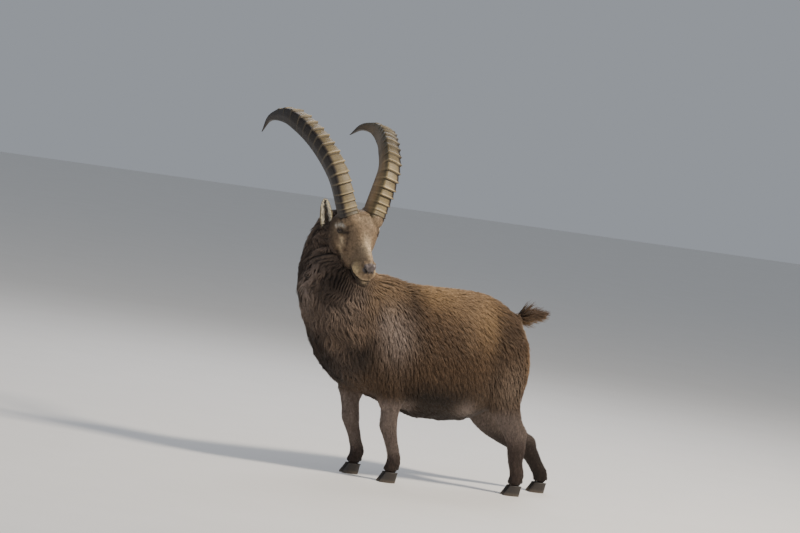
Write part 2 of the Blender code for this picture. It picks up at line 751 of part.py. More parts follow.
def slab(centre, normal, size, thickness=GAP):
    """A thin box across a direction, to part one piece from another."""
    work = bmesh.new()
    bmesh.ops.create_cube(work, size=1.0)
    turn = Vector(normal).normalized().to_track_quat("Z", "Y").to_matrix().to_4x4()
    place = Matrix.Translation(centre) @ turn @ Matrix.Diagonal((size[0], size[1], thickness, 1.0))
    bmesh.ops.transform(work, matrix=place, verts=work.verts)
    mesh = bpy.data.meshes.new("slab")
    work.to_mesh(mesh)
    work.free()
    return add_object("slab", mesh)


def lock_mesh(spots, normals, width, thickness, sway=0.0, curve=0.0):
    """One flat, tapered lock of hair that bends through three spots; normals point out of the coat."""
    rings = []
    for t, share in LOCK_OUTLINE:
        weights = ((1 - t) * (1 - 2 * t), 4 * t * (1 - t), t * (2 * t - 1))
        middle = sum((spot * weight for spot, weight in zip(spots, weights)), Vector())
        slopes = (4 * t - 3, 4 - 8 * t, 4 * t - 1)
        heading = sum((spot * slope for spot, slope in zip(spots, slopes)), Vector()).normalized()
        off = sum((normal * weight for normal, weight in zip(normals, weights)), Vector())
        off = (off - heading * heading.dot(off)).normalized()
        across = heading.cross(off)
        middle = middle + across * (sway * math.sin(2.4 * t))
        half, deep = 0.5 * width * share, thickness * math.sqrt(share)
        edge = off * (-curve * half * half)
        rings.append([middle + across * half + edge, middle + off * deep, middle - across * half + edge])
    return loft(rings)


def coat_locks(body, chance):
    """The long locks of the winter coat: ruff, belly fringe and elbows, each rooted in the body."""
    tree = BVHTree.FromObject(body, bpy.context.evaluated_depsgraph_get())
    locks = []

    def hang(start, aim, length, width, slope, curve=0.0):
        spot, normal, _, _ = tree.ray_cast(start, aim.normalized())
        if spot is None:
            return
        spots, normals = [], []
        for height in LOCK_HEIGHTS:
            spots.append(spot + normal * height)
            normals.append(normal)
            along = (slope - normal * slope.dot(normal)).normalized()
            spot, normal, _, _ = tree.find_nearest(spot + along * length / 2)
        locks.append(lock_mesh(spots, normals, width, 0.010, chance.uniform(-0.012, 0.012), curve))

    neck = smooth_rows(NECK, 8)
    for row, (z, first, last, count, length) in enumerate(RUFF_ROWS):
        x, y, wide, deep = (float(np.interp(z, neck[:, 2], neck[:, i])) for i in (0, 1, 3, 4))
        step = (last - first) / (count - 0.5)
        width = LOCK_SPREAD * math.radians(step) * 0.5 * (wide + deep)
        for k in range(count):
            bearing = math.radians(first + step * (k + 0.5 * (row % 2)) + chance.uniform(-3, 3))
            away = Vector((math.sin(bearing), -math.cos(bearing), 0.0))
            hang(
                Vector((x, y, z + chance.uniform(-0.012, 0.012))) + away * 0.6,
                -away,
                length * chance.uniform(0.85, 1.15),
                width * chance.uniform(0.85, 1.15),
                Vector((0, 0.12, -1)),
                1.5 / (wide + deep),
            )
    for x, y, length in FRINGE:
        hang(Vector((x, y, 0.12)), Vector((0, 0, 1)), length, 0.050, Vector((0.25 * x / 0.08, 1.0, -0.3)))
    for x, y, z in ELBOWS:
        hang(Vector((x, y + 0.3, z)), Vector((0, -1, 0)), 0.060, 0.034, Vector((0, 0.4, -1)))
    return locks


def tail_locks(chance):
    """The tail's fan: stiff locks from along its bone to their tips."""
    locks = []
    for x, y, z in TAIL_TIPS:
        tip = Vector((x, y, z))
        share = min(max((y - 0.52) / 0.15, 0.0), 1.0)
        root = Vector((x * 0.4, 0.545 + 0.045 * share, 0.803 + 0.010 * share))
        middle = (root + tip) / 2 + Vector((0, 0, chance.uniform(-0.004, 0.004)))
        locks.append(lock_mesh((root, middle, tip), (Vector((1, 0, 0)),) * 3, 0.026, 0.011))
    return locks


def beard_locks():
    """The beard's locks, hanging from the chin and the jaw behind it."""
    frame = head_matrix()
    locks = []
    for a, l, h, length in BEARD:
        root = frame @ Vector((a, l, h + 0.012))
        ahead = frame.to_3x3() @ Vector((1, 0, 0))
        drop = Vector((-0.06, 0.0, -1.0)).normalized() * (length + 0.012)
        locks.append(lock_mesh((root, root + drop * 0.5 + ahead * 0.003, root + drop), (ahead,) * 3, 0.028, 0.010))
    return locks


def fuse_locks(obj, meshes, solver):
    """Unites a set of locks with their body in one Boolean."""
    group = bpy.data.collections.new("locks")
    bpy.context.scene.collection.children.link(group)
    for mesh in meshes:
        group.objects.link(bpy.data.objects.new("lock", mesh))
    return boolean(obj, "UNION", group, solver, True)


def part_body(body):
    """Cuts the whole body into its named pieces and returns them."""
    boolean(body, "DIFFERENCE", slab((0.0, 0.1, FEET_END / 2 - 0.1), (0, 0, 1), (1.0, 2.0), FEET_END + 0.2))
    for centre, normal, size in CUTS.values():
        boolean(body, "DIFFERENCE", slab(centre, normal, size), "MANIFOLD")
    pieces = {}
    for volume, middle, mesh in loose_parts(body.data):
        if volume < 1e-5:
            continue
        name = min(PIECES, key=lambda key: (Vector(PIECES[key]) - middle).length)
        if name not in pieces:
            pieces[name] = add_object(name, mesh)
    bpy.data.objects.remove(body)
    return pieces


def main():
    """Builds every piece, then moves the whole so that its floor outline is centred."""
    clear_scene()
    coat = material("winter_coat", (0.10, 0.065, 0.042), 0.85)
    horn = material("horn_sheath", (0.26, 0.19, 0.12), 0.6)
    black_horn = material("hoof_horn", (0.03, 0.026, 0.022), 0.5)
    eye_finish = material("eye_amber", (0.25, 0.13, 0.03), 0.1)
    legs = {
        "foreleg_left": foreleg_rows(1),
        "foreleg_right": foreleg_rows(-1),
        "hindleg_left": HINDLEG_LEFT,
        "hindleg_right": HINDLEG_RIGHT,
    }
    meshes = [trunk_mesh(), limb_mesh(NECK, 5, 32), limb_mesh(TAIL, 3, 12)]
    meshes += [limb_mesh(rows) for rows in legs.values()]
    meshes += [hock_mesh(HINDLEG_LEFT, HEEL_LEFT), hock_mesh(HINDLEG_RIGHT, HEEL_RIGHT)]
    body = join_meshes("body", meshes)
    fuse(body, 0.009, 8, BODY_TRIANGLES)
    chance = random.Random(7)
    locks = coat_locks(body, chance) + tail_locks(chance) + beard_locks()
    boolean(body, "UNION", head_mesh())
    fuse_locks(body, locks, "MANIFOLD")
    pieces = part_body(body)
    for side in (1, -1):
        boolean(pieces["head"], "DIFFERENCE", add_object("seat", hull_seat(horn_mesh(side), 10 * 9)))
        for name in ("head", "neck"):
            boolean(pieces[name], "DIFFERENCE", add_object("seat", hull_seat(ear_mesh(side), 14 * 6)))
    for piece in pieces.values():
        keep_largest(piece)
        piece.data.materials.clear()
        piece.data.materials.append(coat)
    for side, word in ((1, "left"), (-1, "right")):
        add_object("horn_" + word, horn_mesh(side), horn)
        add_object("ear_" + word, ear_mesh(side), coat)
        eye = add_object("eye_" + word, ball((EYE.x, side * EYE.y, EYE.z), (EYE_RADIUS,) * 3, None, 12, 9), eye_finish)
        eye.data.transform(head_matrix())
    for name, rows in legs.items():
        x, y = rows[-1][0], rows[-1][1]
        for side, word in ((1, "outer"), (-1, "inner")):
            away = side * (1 if x > 0 else -1)
            add_object(f"hoof_{name}_{word}", hoof_mesh(x + away * 0.0158, y - 0.010, 1.0), black_horn)
    for obj in bpy.context.scene.collection.objects:
        obj.location = obj.location + SHIFT


main()
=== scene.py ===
"""Alpine ibex buck in winter coat, life size: the finish of the standing model.

Metres, +Z up. The buck faces -Y, its left side is +X and its head is turned to its left.
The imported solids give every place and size. The skin lies inside them by the depth of the
coat, and the coat stands on it as tufts of solid mesh that follow its lie.
"""

import logging
import math
from dataclasses import dataclass, field
from enum import Enum

import bmesh
import bpy
import numpy as np
from mathutils import Matrix, Vector
from mathutils.bvhtree import BVHTree
from mathutils.kdtree import KDTree


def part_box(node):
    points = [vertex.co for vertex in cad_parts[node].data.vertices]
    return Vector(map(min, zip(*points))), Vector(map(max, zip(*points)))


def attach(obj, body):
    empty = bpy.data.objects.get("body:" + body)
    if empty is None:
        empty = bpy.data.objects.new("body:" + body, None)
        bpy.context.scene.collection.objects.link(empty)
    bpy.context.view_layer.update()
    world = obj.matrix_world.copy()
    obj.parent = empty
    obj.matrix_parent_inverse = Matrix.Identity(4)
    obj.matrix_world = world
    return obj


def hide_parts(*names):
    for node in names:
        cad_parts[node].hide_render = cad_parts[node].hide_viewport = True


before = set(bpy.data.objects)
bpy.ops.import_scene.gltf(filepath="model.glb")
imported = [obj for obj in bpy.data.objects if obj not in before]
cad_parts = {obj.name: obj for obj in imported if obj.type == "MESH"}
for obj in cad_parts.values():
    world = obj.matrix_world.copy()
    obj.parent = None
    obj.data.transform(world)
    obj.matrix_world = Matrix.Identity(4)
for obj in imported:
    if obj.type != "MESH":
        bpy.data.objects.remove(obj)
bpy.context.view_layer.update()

log = logging.getLogger("ibex")
Rows = tuple[tuple[float, ...], ...]

STAND = np.array((0.1684, -0.0986, 0.0))  # the floor point under the middle of the withers
BODY_NODES = ("torso", "neck", "foreleg_left", "foreleg_right", "hindleg_left", "hindleg_right")
FLESH_NODES = BODY_NODES + ("head", "tail", "ear_left", "ear_right")


class Side(Enum):
    """The buck's own left and right."""

    LEFT = 1
    RIGHT = -1

    @property
    def word(self) -> str:
        """The side's name in lower case."""
        return self.name.lower()


class Palette(Enum):
    """The coat's colours, as sRGB hex; several of them are also laid as painted light and shade."""

    BARREL = "#4a3827"
    TAN = "#876d4c"
    LOIN = "#766048"
    # Dark flank hair, also laid as painted shade in the fold before the thigh.
    FLANK_DARK_AND_SHADE = "#302216"
    # Dark belly hair together with painted shade under the belly.
    BELLY_HAIR_AND_SHADE = "#0e0804"
    # Shoulder grey, also laid as a painted highlight on the front of the neck.
    SHOULDER_AND_LIGHT = "#7c6f67"
    RUFF = "#54473d"
    # Dark chest hair, also laid as painted shade on the chest and the neck's shaded sides.
    RUFF_DARK_AND_SHADE = "#1d1510"
    THIGH = "#706052"
    # Painted light on the lit rear edge of the rump.
    RUMP_EDGE_LIGHT = "#9f7e5a"
    LEG = "#453933"
    LEG_GREY = "#7d6f66"
    FACE = "#7a6650"
    # Pale face hair, also painted light on the nose bridge.
    FACE_PALE_AND_LIGHT = "#d4bc98"
    # Dark face hair, also painted shade under the jaw, on the cheek, before the eye and under the horns.
    FACE_DARK_AND_SHADE = "#3a2b21"
    MUZZLE = "#cbb184"
    WHITE = "#e6dece"
    # Black-brown hair and skin, also painted shade along the mouth, in the lip fold, in the nostrils and on the far
    # hind leg.
    BLACK_BROWN_AND_SHADE = "#241b15"
    EAR_RIM = "#ece0b6"
    NOSE = "#575050"


def linear(hex_code: str) -> tuple[float, float, float]:
    """Turns an sRGB hex colour into linear values.

    Args:
        hex_code: the colour as "#rrggbb".

    Returns:
        Red, green and blue in linear light.
    """
    values = [int(hex_code[i : i + 2], 16) / 255 for i in (1, 3, 5)]
    return tuple(v / 12.92 if v <= 0.04045 else ((v + 0.055) / 1.055) ** 2.4 for v in values)


def tone(colour: Palette) -> np.ndarray:
    """A palette colour as a linear array."""
    return np.array(linear(colour.value))


def fade(value: np.ndarray, low: float, high: float) -> np.ndarray:
    """Rises smoothly from 0 at low to 1 at high.

    Args:
        value: what is looked at.
        low: where the rise starts; it may lie above high, which turns the rise round.
        high: where it ends.

    Returns:
        Values from 0 to 1.
    """
    t = np.clip((value - low) / (high - low), 0.0, 1.0)
    return t * t * (3 - 2 * t)


def unit(vectors: np.ndarray) -> np.ndarray:
    """Rows scaled to length one."""
    return vectors / np.maximum(np.linalg.norm(vectors, axis=-1, keepdims=True), 1e-9)


def curve_rows(rows: Rows, steps: int) -> np.ndarray:
    """Reads extra rows between the given ones on a Catmull-Rom curve.

    Args:
        rows: the chosen rows.
        steps: how many rows each stretch gives.

    Returns:
        The finer rows, the last one included.
    """
    given = np.array(rows, float)
    ends = np.vstack([2 * given[0] - given[1], given, 2 * given[-1] - given[-2]])
    out = []
    for i in range(len(given) - 1):
        p0, p1, p2, p3 = ends[i : i + 4]
        for t in np.linspace(0, 1, steps, endpoint=False):
            bend = (2 * p0 - 5 * p1 + 4 * p2 - p3) * t**2 + (3 * p1 - p0 - 3 * p2 + p3) * t**3
            out.append(0.5 * (2 * p1 + (p2 - p0) * t + bend))
    out.append(given[-1])
    return np.array(out)


def array_mesh(name: str, points: np.ndarray, corners: np.ndarray, sizes: np.ndarray) -> bpy.types.Mesh:
    """Makes a smooth-shaded mesh straight from arrays.

    Args:
        name: the mesh's name.
        points: one row per vertex.
        corners: vertex numbers of all faces, one after another.
        sizes: how many corners each face has.

    Returns:
        The mesh.
    """
    mesh = bpy.data.meshes.new(name)
    mesh.vertices.add(len(points))
    mesh.vertices.foreach_set("co", np.asarray(points, np.float32).ravel())
    mesh.loops.add(len(corners))
    mesh.loops.foreach_set("vertex_index", np.asarray(corners, np.int32))
    starts = np.concatenate([[0], np.cumsum(sizes)[:-1]])
    mesh.polygons.add(len(sizes))
    mesh.polygons.foreach_set("loop_start", starts.astype(np.int32))
    mesh.update(calc_edges=True)
    mesh.validate()
    mesh.shade_smooth()
    return mesh


def loft(name: str, rings: np.ndarray) -> bpy.types.Mesh:
    """A closed mesh through rings of equal count, its ends filled by fans.

    Args:
        name: the mesh's name.
        rings: rings x points x 3.

    Returns:
        The mesh, its faces turned outward.
    """
    count, around = rings.shape[:2]
    points = np.vstack([rings.reshape(-1, 3), rings[0].mean(0), rings[-1].mean(0)])
    i, j = np.meshgrid(np.arange(count - 1), np.arange(around), indexing="ij")
    k = (j + 1) % around
    quads = np.stack([i * around + j, i * around + k, (i + 1) * around + k, (i + 1) * around + j], -1).reshape(-1, 4)
    turn = np.arange(around)
    first = np.stack([turn, (turn + 1) % around, np.full(around, count * around)], 1)
    last = np.stack([turn, (turn + 1) % around, np.full(around, count * around + 1)], 1)
    last[:, :2] += (count - 1) * around
    corners = np.concatenate([quads.ravel(), first.ravel(), last.ravel()])
    sizes = np.concatenate([np.full(len(quads), 4), np.full(2 * around, 3)])
    mesh = array_mesh(name, points, corners, sizes)
    work = bmesh.new()
    work.from_mesh(mesh)
    bmesh.ops.recalc_face_normals(work, faces=work.faces)
    work.to_mesh(mesh)
    work.free()
    return mesh


def add_object(name: str, mesh: bpy.types.Mesh) -> bpy.types.Object:
    """Links a mesh as a named object."""
    piece = bpy.data.objects.new(name, mesh)
    bpy.context.scene.collection.objects.link(piece)
    return piece


def merged(name: str, meshes: list[bpy.types.Mesh]) -> bpy.types.Mesh:
    """Several meshes as one."""
    work = bmesh.new()
    for mesh in meshes:
        work.from_mesh(mesh)
    whole = bpy.data.meshes.new(name)
    work.to_mesh(whole)
    work.free()
    whole.shade_smooth()
    return whole


def places(mesh: bpy.types.Mesh) -> np.ndarray:
    """The mesh's vertices as rows."""
    flat = np.empty(len(mesh.vertices) * 3, np.float32)
    mesh.vertices.foreach_get("co", flat)
    return flat.reshape(-1, 3).astype(float)


def set_places(mesh: bpy.types.Mesh, points: np.ndarray) -> None:
    """Moves the mesh's vertices."""
    mesh.vertices.foreach_set("co", np.asarray(points, np.float32).ravel())
    mesh.update()


def normals(mesh: bpy.types.Mesh) -> np.ndarray:
    """The mesh's vertex normals as rows."""
    flat = np.empty(len(mesh.vertices) * 3, np.float32)
    mesh.vertex_normals.foreach_get("vector", flat)
    return flat.reshape(-1, 3).astype(float)


def fused(name: str, meshes: list[bpy.types.Mesh], voxel: float, rounds: int) -> bpy.types.Mesh:
    """Fuses overlapping closed meshes into one relaxed surface.

    Args:
        name: the new mesh's name.
        meshes: closed meshes that overlap or nearly touch.
        voxel: the grid's pitch.
        rounds: how often the surface is relaxed.

    Returns:
        The fused mesh.
    """
    piece = add_object(name, merged(name, meshes))
    remesh = piece.modifiers.new("fuse", "REMESH")
    remesh.mode = "VOXEL"
    remesh.voxel_size = voxel
    relax = piece.modifiers.new("relax", "SMOOTH")
    relax.factor = 0.5
    relax.iterations = rounds
    graph = bpy.context.evaluated_depsgraph_get()
    made = bpy.data.meshes.new_from_object(piece.evaluated_get(graph))
    bpy.data.objects.remove(piece)
    made.name = name
    made.shade_smooth()
    return made


def paint(mesh: bpy.types.Mesh, name: str, colours: np.ndarray) -> None:
    """Stores one linear colour per vertex."""
    layer = mesh.color_attributes.new(name, "FLOAT_COLOR", "POINT")
    full = np.ones((len(colours), 4), np.float32)
    full[:, :3] = colours
    layer.data.foreach_set("color", full.ravel())


@dataclass(frozen=True)
class HeadFrame:
    """The head's own axes: a runs down the nose line, l to its left, h out of the forehead."""

    at: tuple[float, float, float] = (0.2444, -0.4716, 1.141)
    turn: float = math.radians(91.0)
    pitch: float = math.radians(38.0)
    roll: float = math.radians(2.5)
    scale: float = 1.11

    def upright(self) -> np.ndarray:
        """Forward, left and up of the head before it pitches, as columns."""
        forward = np.array((math.sin(self.turn), -math.cos(self.turn), 0.0))
        up = np.array((0.0, 0.0, 1.0))
        left = np.cross(up, forward)
        rolled_left = left * math.cos(self.roll) + up * math.sin(self.roll)
        rolled_up = up * math.cos(self.roll) - left * math.sin(self.roll)
        return np.stack([forward, rolled_left, rolled_up], 1)

    def axes(self) -> np.ndarray:
        """The directions a, l and h, as columns."""
        forward, left, up = self.upright().T
        nose = forward * math.cos(self.pitch) - up * math.sin(self.pitch)
        crown = forward * math.sin(self.pitch) + up * math.cos(self.pitch)
        return np.stack([nose, left, crown], 1)

    def place(self, local: np.ndarray) -> np.ndarray:
        """Points of the head's frame in the world."""
        return np.asarray(local, float) @ self.axes().T * self.scale + np.array(self.at)

    def local(self, points: np.ndarray) -> np.ndarray:
        """World points in the head's frame."""
        return (np.asarray(points, float) - np.array(self.at)) @ self.axes() / self.scale


HEAD = HeadFrame()


def add_node(tree: bpy.types.NodeTree, kind: str, inputs: dict | None = None, **settings: object) -> bpy.types.Node:
    """Adds a shader node with its settings, values and links.

    Args:
        tree: the material's node tree.
        kind: the node's type name.
        inputs: socket name or number to a value, or to an output socket to link from.
        settings: properties of the node itself.

    Returns:
        The node.
    """
    node = tree.nodes.new(kind)
    for name, value in settings.items():
        setattr(node, name, value)
    for socket, value in (inputs or {}).items():
        if isinstance(value, bpy.types.NodeSocket):
            tree.links.new(value, node.inputs[socket])
        else:
            node.inputs[socket].default_value = value
    return node


def new_finish(name: str) -> tuple[bpy.types.Material, bpy.types.NodeTree, bpy.types.Node]:
    """An empty material with its tree and its main shader."""
    made = bpy.data.materials.new(name)
    made.use_nodes = True
    return made, made.node_tree, made.node_tree.nodes["Principled BSDF"]


def tinted(tree: bpy.types.NodeTree, tint: bpy.types.NodeSocket, grain: bpy.types.NodeSocket, low: float, high: float) -> bpy.types.NodeSocket:
    """A colour made darker and lighter by a grain from 0 to 1.

    Args:
        tree: the material's node tree.
        tint: the colour.
        grain: what varies it.
        low: the factor where the grain is 0.
        high: the factor where it is 1.

    Returns:
        The varied colour.
    """
    factor = add_node(tree, "ShaderNodeMapRange", {"Value": grain, "From Min": 0.25, "From Max": 0.75, "To Min": low, "To Max": high})
    grey = add_node(tree, "ShaderNodeCombineColor", {0: factor.outputs[0], 1: factor.outputs[0], 2: factor.outputs[0]})
    mixed = add_node(tree, "ShaderNodeMix", {"Factor": 1.0, 6: tint, 7: grey.outputs[0]}, data_type="RGBA", blend_type="MULTIPLY")
    return mixed.outputs[2]


@dataclass(frozen=True)
class WinterHair:
    """Coarse winter hair: dull, a little waxy, each lock with its own shade.

    The eye reads it as fur by its broken, matt highlights, so its roughness is high and its
    gloss low, and its shade changes from lock to lock and from root to tip.
    """

    roughness: float = 0.62
    sheen: float = 0.05
    grain_mm: float = 9.0  # clumps of sun-bleached hair
    hairs_across: float = 5.0  # streaks over a tuft's width; real hairs are 0.1 mm and would not show
    darkest: float = 0.84
    palest: float = 1.20

    def make(self, name: str) -> bpy.types.Material:
        """The material for locks, tinted by their own markings."""
        made, tree, shader = new_finish(name)
        tint = add_node(tree, "ShaderNodeAttribute", attribute_name="tint")
        where = add_node(tree, "ShaderNodeTexCoord")
        grain = add_node(
            tree,
            "ShaderNodeTexNoise",
            {"Vector": where.outputs["Object"], "Scale": 1000 / self.grain_mm, "Detail": 2.0},
        )
        strand = add_node(tree, "ShaderNodeAttribute", attribute_name="strand")
        hairs = add_node(
            tree,
            "ShaderNodeTexNoise",
            {"Vector": strand.outputs["Vector"], "Scale": self.hairs_across, "Detail": 2.0},
        )
        colour = tinted(tree, tint.outputs["Color"], grain.outputs[0], self.darkest, self.palest)
        colour = tinted(tree, colour, hairs.outputs[0], 0.60, 1.42)
        tree.links.new(colour, shader.inputs["Base Color"])
        bump = add_node(tree, "ShaderNodeBump", {"Height": hairs.outputs[0], "Strength": 0.6, "Distance": 0.0006})
        tree.links.new(bump.outputs[0], shader.inputs["Normal"])
        shader.inputs["Roughness"].default_value = self.roughness
        shader.inputs["Specular IOR Level"].default_value = 0.24
        shader.inputs["Sheen Weight"].default_value = self.sheen
        shader.inputs["Sheen Roughness"].default_value = 0.5
        return made


@dataclass(frozen=True)
class HairyHide:
    """Hide under short, flat hair: matt, with a fine combed grain that only bump can show.

    Hairs are 0.1 mm wide; the grain is drawn 1.5 mm wide and 6 mm long to show at all.
    """

    roughness: float = 0.7
    grain_mm: float = 1.5

    def make(self, name: str) -> bpy.types.Material:
        """The material for skin, tinted by the same markings as the coat."""
        made, tree, shader = new_finish(name)
        tint = add_node(tree, "ShaderNodeAttribute", attribute_name="tint")
        shine = add_node(tree, "ShaderNodeAttribute", attribute_name="wet")
        where = add_node(tree, "ShaderNodeTexCoord")
        stretched = add_node(tree, "ShaderNodeMapping", {"Vector": where.outputs["Object"], "Scale": (1.0, 1.0, 0.4)})
        hairs = add_node(
            tree,
            "ShaderNodeTexNoise",
            {"Vector": stretched.outputs[0], "Scale": 1000 / self.grain_mm / 2, "Detail": 3.0, "Roughness": 0.7},
        )
        patches = add_node(tree, "ShaderNodeTexNoise", {"Vector": where.outputs["Object"], "Scale": 90.0, "Detail": 2.0})
        colour = tinted(tree, tint.outputs["Color"], hairs.outputs[0], 0.72, 1.3)
        colour = tinted(tree, colour, patches.outputs[0], 0.45, 1.55)
        tree.links.new(colour, shader.inputs["Base Color"])
        rough = add_node(
            tree,
            "ShaderNodeMapRange",
            {"Value": shine.outputs["Fac"], "To Min": self.roughness, "To Max": 0.32},
        )
        tree.links.new(rough.outputs[0], shader.inputs["Roughness"])
        bump = add_node(tree, "ShaderNodeBump", {"Height": hairs.outputs[0], "Strength": 0.45, "Distance": 0.0012})
        tree.links.new(bump.outputs[0], shader.inputs["Normal"])
        shader.inputs["Specular IOR Level"].default_value = 0.35
        return made


@dataclass(frozen=True)
class HornSheath:
    """Horn keratin, grown in rings: khaki where the sun catches it, dark in the grooves, where its tint carries painted
    shade.

    The long grain is the fibre of the sheath, 0.4 mm wide; it is drawn 2 mm wide to show.
    """

    roughness: float = 0.55
    fibre_mm: float = 2.0

    def make(self, name: str) -> bpy.types.Material:
        """The material for a horn, tinted ring by ring."""
        made, tree, shader = new_finish(name)
        tint = add_node(tree, "ShaderNodeAttribute", attribute_name="tint")
        lie = add_node(tree, "ShaderNodeAttribute", attribute_name="lie")
        stretched = add_node(tree, "ShaderNodeMapping", {"Vector": lie.outputs["Vector"], "Scale": (1.0, 1.0, 0.35)})
        fibre = add_node(
            tree,
            "ShaderNodeTexNoise",
            {"Vector": stretched.outputs[0], "Scale": 1000 / self.fibre_mm / 2, "Detail": 4.0, "Roughness": 0.65},
        )
        rings = add_node(tree, "ShaderNodeMapping", {"Vector": lie.outputs["Vector"], "Scale": (0.12, 0.12, 1.0)})
        growth = add_node(
            tree,
            "ShaderNodeTexNoise",
            {"Vector": rings.outputs[0], "Scale": 260.0, "Detail": 3.0, "Roughness": 0.6},
        )
        stain = add_node(tree, "ShaderNodeTexNoise", {"Vector": lie.outputs["Vector"], "Scale": 22.0, "Detail": 3.0})
        colour = tinted(tree, tint.outputs["Color"], fibre.outputs[0], 0.80, 1.16)
        colour = tinted(tree, colour, growth.outputs[0], 0.84, 1.14)
        colour = tinted(tree, colour, stain.outputs[0], 0.74, 1.22)
        tree.links.new(colour, shader.inputs["Base Color"])
        both = add_node(tree, "ShaderNodeMath", {0: fibre.outputs[0], 1: growth.outputs[0]}, operation="ADD")
        bump = add_node(tree, "ShaderNodeBump", {"Height": both.outputs[0], "Strength": 0.5, "Distance": 0.0015})
        tree.links.new(bump.outputs[0], shader.inputs["Normal"])
        shader.inputs["Roughness"].default_value = self.roughness
        return made


@dataclass(frozen=True)
class HoofHorn:
    """Black hoof horn: hard, worn, with faint rings and dust at the edge of the sole."""

    wall: str = "#2b2622"
    dust: str = "#5d5348"
    roughness: float = 0.5

    def make(self, name: str) -> bpy.types.Material:
        """The material for hooves and dewclaws."""
        made, tree, shader = new_finish(name)
        where = add_node(tree, "ShaderNodeTexCoord")
        flat = add_node(tree, "ShaderNodeMapping", {"Vector": where.outputs["Object"], "Scale": (0.3, 0.3, 1.0)})
        rings = add_node(tree, "ShaderNodeTexNoise", {"Vector": flat.outputs[0], "Scale": 420.0, "Detail": 2.0})
        low = add_node(tree, "ShaderNodeSeparateXYZ", {0: where.outputs["Object"]})
        dusty = add_node(tree, "ShaderNodeMapRange", {"Value": low.outputs[2], "From Min": 0.0, "From Max": 0.018, "To Min": 0.75, "To Max": 0.05})
        mixed = add_node(
            tree,
            "ShaderNodeMix",
            {"Factor": dusty.outputs[0], 6: (*linear(self.wall), 1.0), 7: (*linear(self.dust), 1.0)},
            data_type="RGBA",
        )
        colour = tinted(tree, mixed.outputs[2], rings.outputs[0], 0.7, 1.35)
        tree.links.new(colour, shader.inputs["Base Color"])
        bump = add_node(tree, "ShaderNodeBump", {"Height": rings.outputs[0], "Strength": 0.35, "Distance": 0.0008})
        tree.links.new(bump.outputs[0], shader.inputs["Normal"])
        shader.inputs["Roughness"].default_value = self.roughness
        return made


@dataclass(frozen=True)
class WetEye:
    """A living eye: wet, so it holds one sharp highlight, amber round a level slit pupil."""

    iris: str = "#4d3416"
    iris_edge: str = "#150c06"
    pupil: str = "#050404"
    white: str = "#2a1d14"

    def make(self, name: str) -> bpy.types.Material:
        """The material for an eyeball, read from its own gaze directions."""
        made, tree, shader = new_finish(name)
        gaze = add_node(tree, "ShaderNodeAttribute", attribute_name="gaze")
        parts = add_node(tree, "ShaderNodeSeparateXYZ", {0: gaze.outputs["Vector"]})
        along, over = parts.outputs[0], parts.outputs[1]
        across2 = add_node(tree, "ShaderNodeMath", {0: along, 1: along}, operation="MULTIPLY")
        over2 = add_node(tree, "ShaderNodeMath", {0: over, 1: over}, operation="MULTIPLY")
        total = add_node(tree, "ShaderNodeMath", {0: across2.outputs[0], 1: over2.outputs[0]}, operation="ADD")
        reach = add_node(tree, "ShaderNodeMath", {0: total.outputs[0]}, operation="SQRT")
        streaks = add_node(tree, "ShaderNodeTexNoise", {"Vector": gaze.outputs["Vector"], "Scale": 9.0, "Detail": 4.0})
        ring = add_node(tree, "ShaderNodeMapRange", {"Value": reach.outputs[0], "From Min": 0.30, "From Max": 0.66})
        iris = add_node(
            tree,
            "ShaderNodeMix",
            {"Factor": ring.outputs[0], 6: (*linear(self.iris), 1.0), 7: (*linear(self.iris_edge), 1.0)},
            data_type="RGBA",
        )
        lively = tinted(tree, iris.outputs[2], streaks.outputs[0], 0.6, 1.5)
        edge = add_node(tree, "ShaderNodeMapRange", {"Value": reach.outputs[0], "From Min": 0.66, "From Max": 0.72})
        ball = add_node(tree, "ShaderNodeMix", {"Factor": edge.outputs[0], 6: lively, 7: (*linear(self.white), 1.0)}, data_type="RGBA")
        wide = add_node(tree, "ShaderNodeMath", {0: along, 1: 0.46}, operation="DIVIDE")
        tall = add_node(tree, "ShaderNodeMath", {0: over, 1: 0.17}, operation="DIVIDE")
        wide4 = add_node(tree, "ShaderNodeMath", {0: wide.outputs[0], 1: 4.0}, operation="POWER")
        tall2 = add_node(tree, "ShaderNodeMath", {0: tall.outputs[0], 1: 2.0}, operation="POWER")
        slit = add_node(tree, "ShaderNodeMath", {0: wide4.outputs[0], 1: tall2.outputs[0]}, operation="ADD")
        dark = add_node(tree, "ShaderNodeMapRange", {"Value": slit.outputs[0], "From Min": 0.85, "From Max": 1.15, "To Min": 1.0, "To Max": 0.0})
        whole = add_node(
            tree,
            "ShaderNodeMix",
            {"Factor": dark.outputs[0], 6: ball.outputs[2], 7: (*linear(self.pupil), 1.0)},
            data_type="RGBA",
        )
        tree.links.new(whole.outputs[2], shader.inputs["Base Color"])
        shader.inputs["Roughness"].default_value = 0.06
        shader.inputs["Specular IOR Level"].default_value = 0.30
        shader.inputs["Coat Weight"].default_value = 0.35
        shader.inputs["Coat Roughness"].default_value = 0.02
        return made


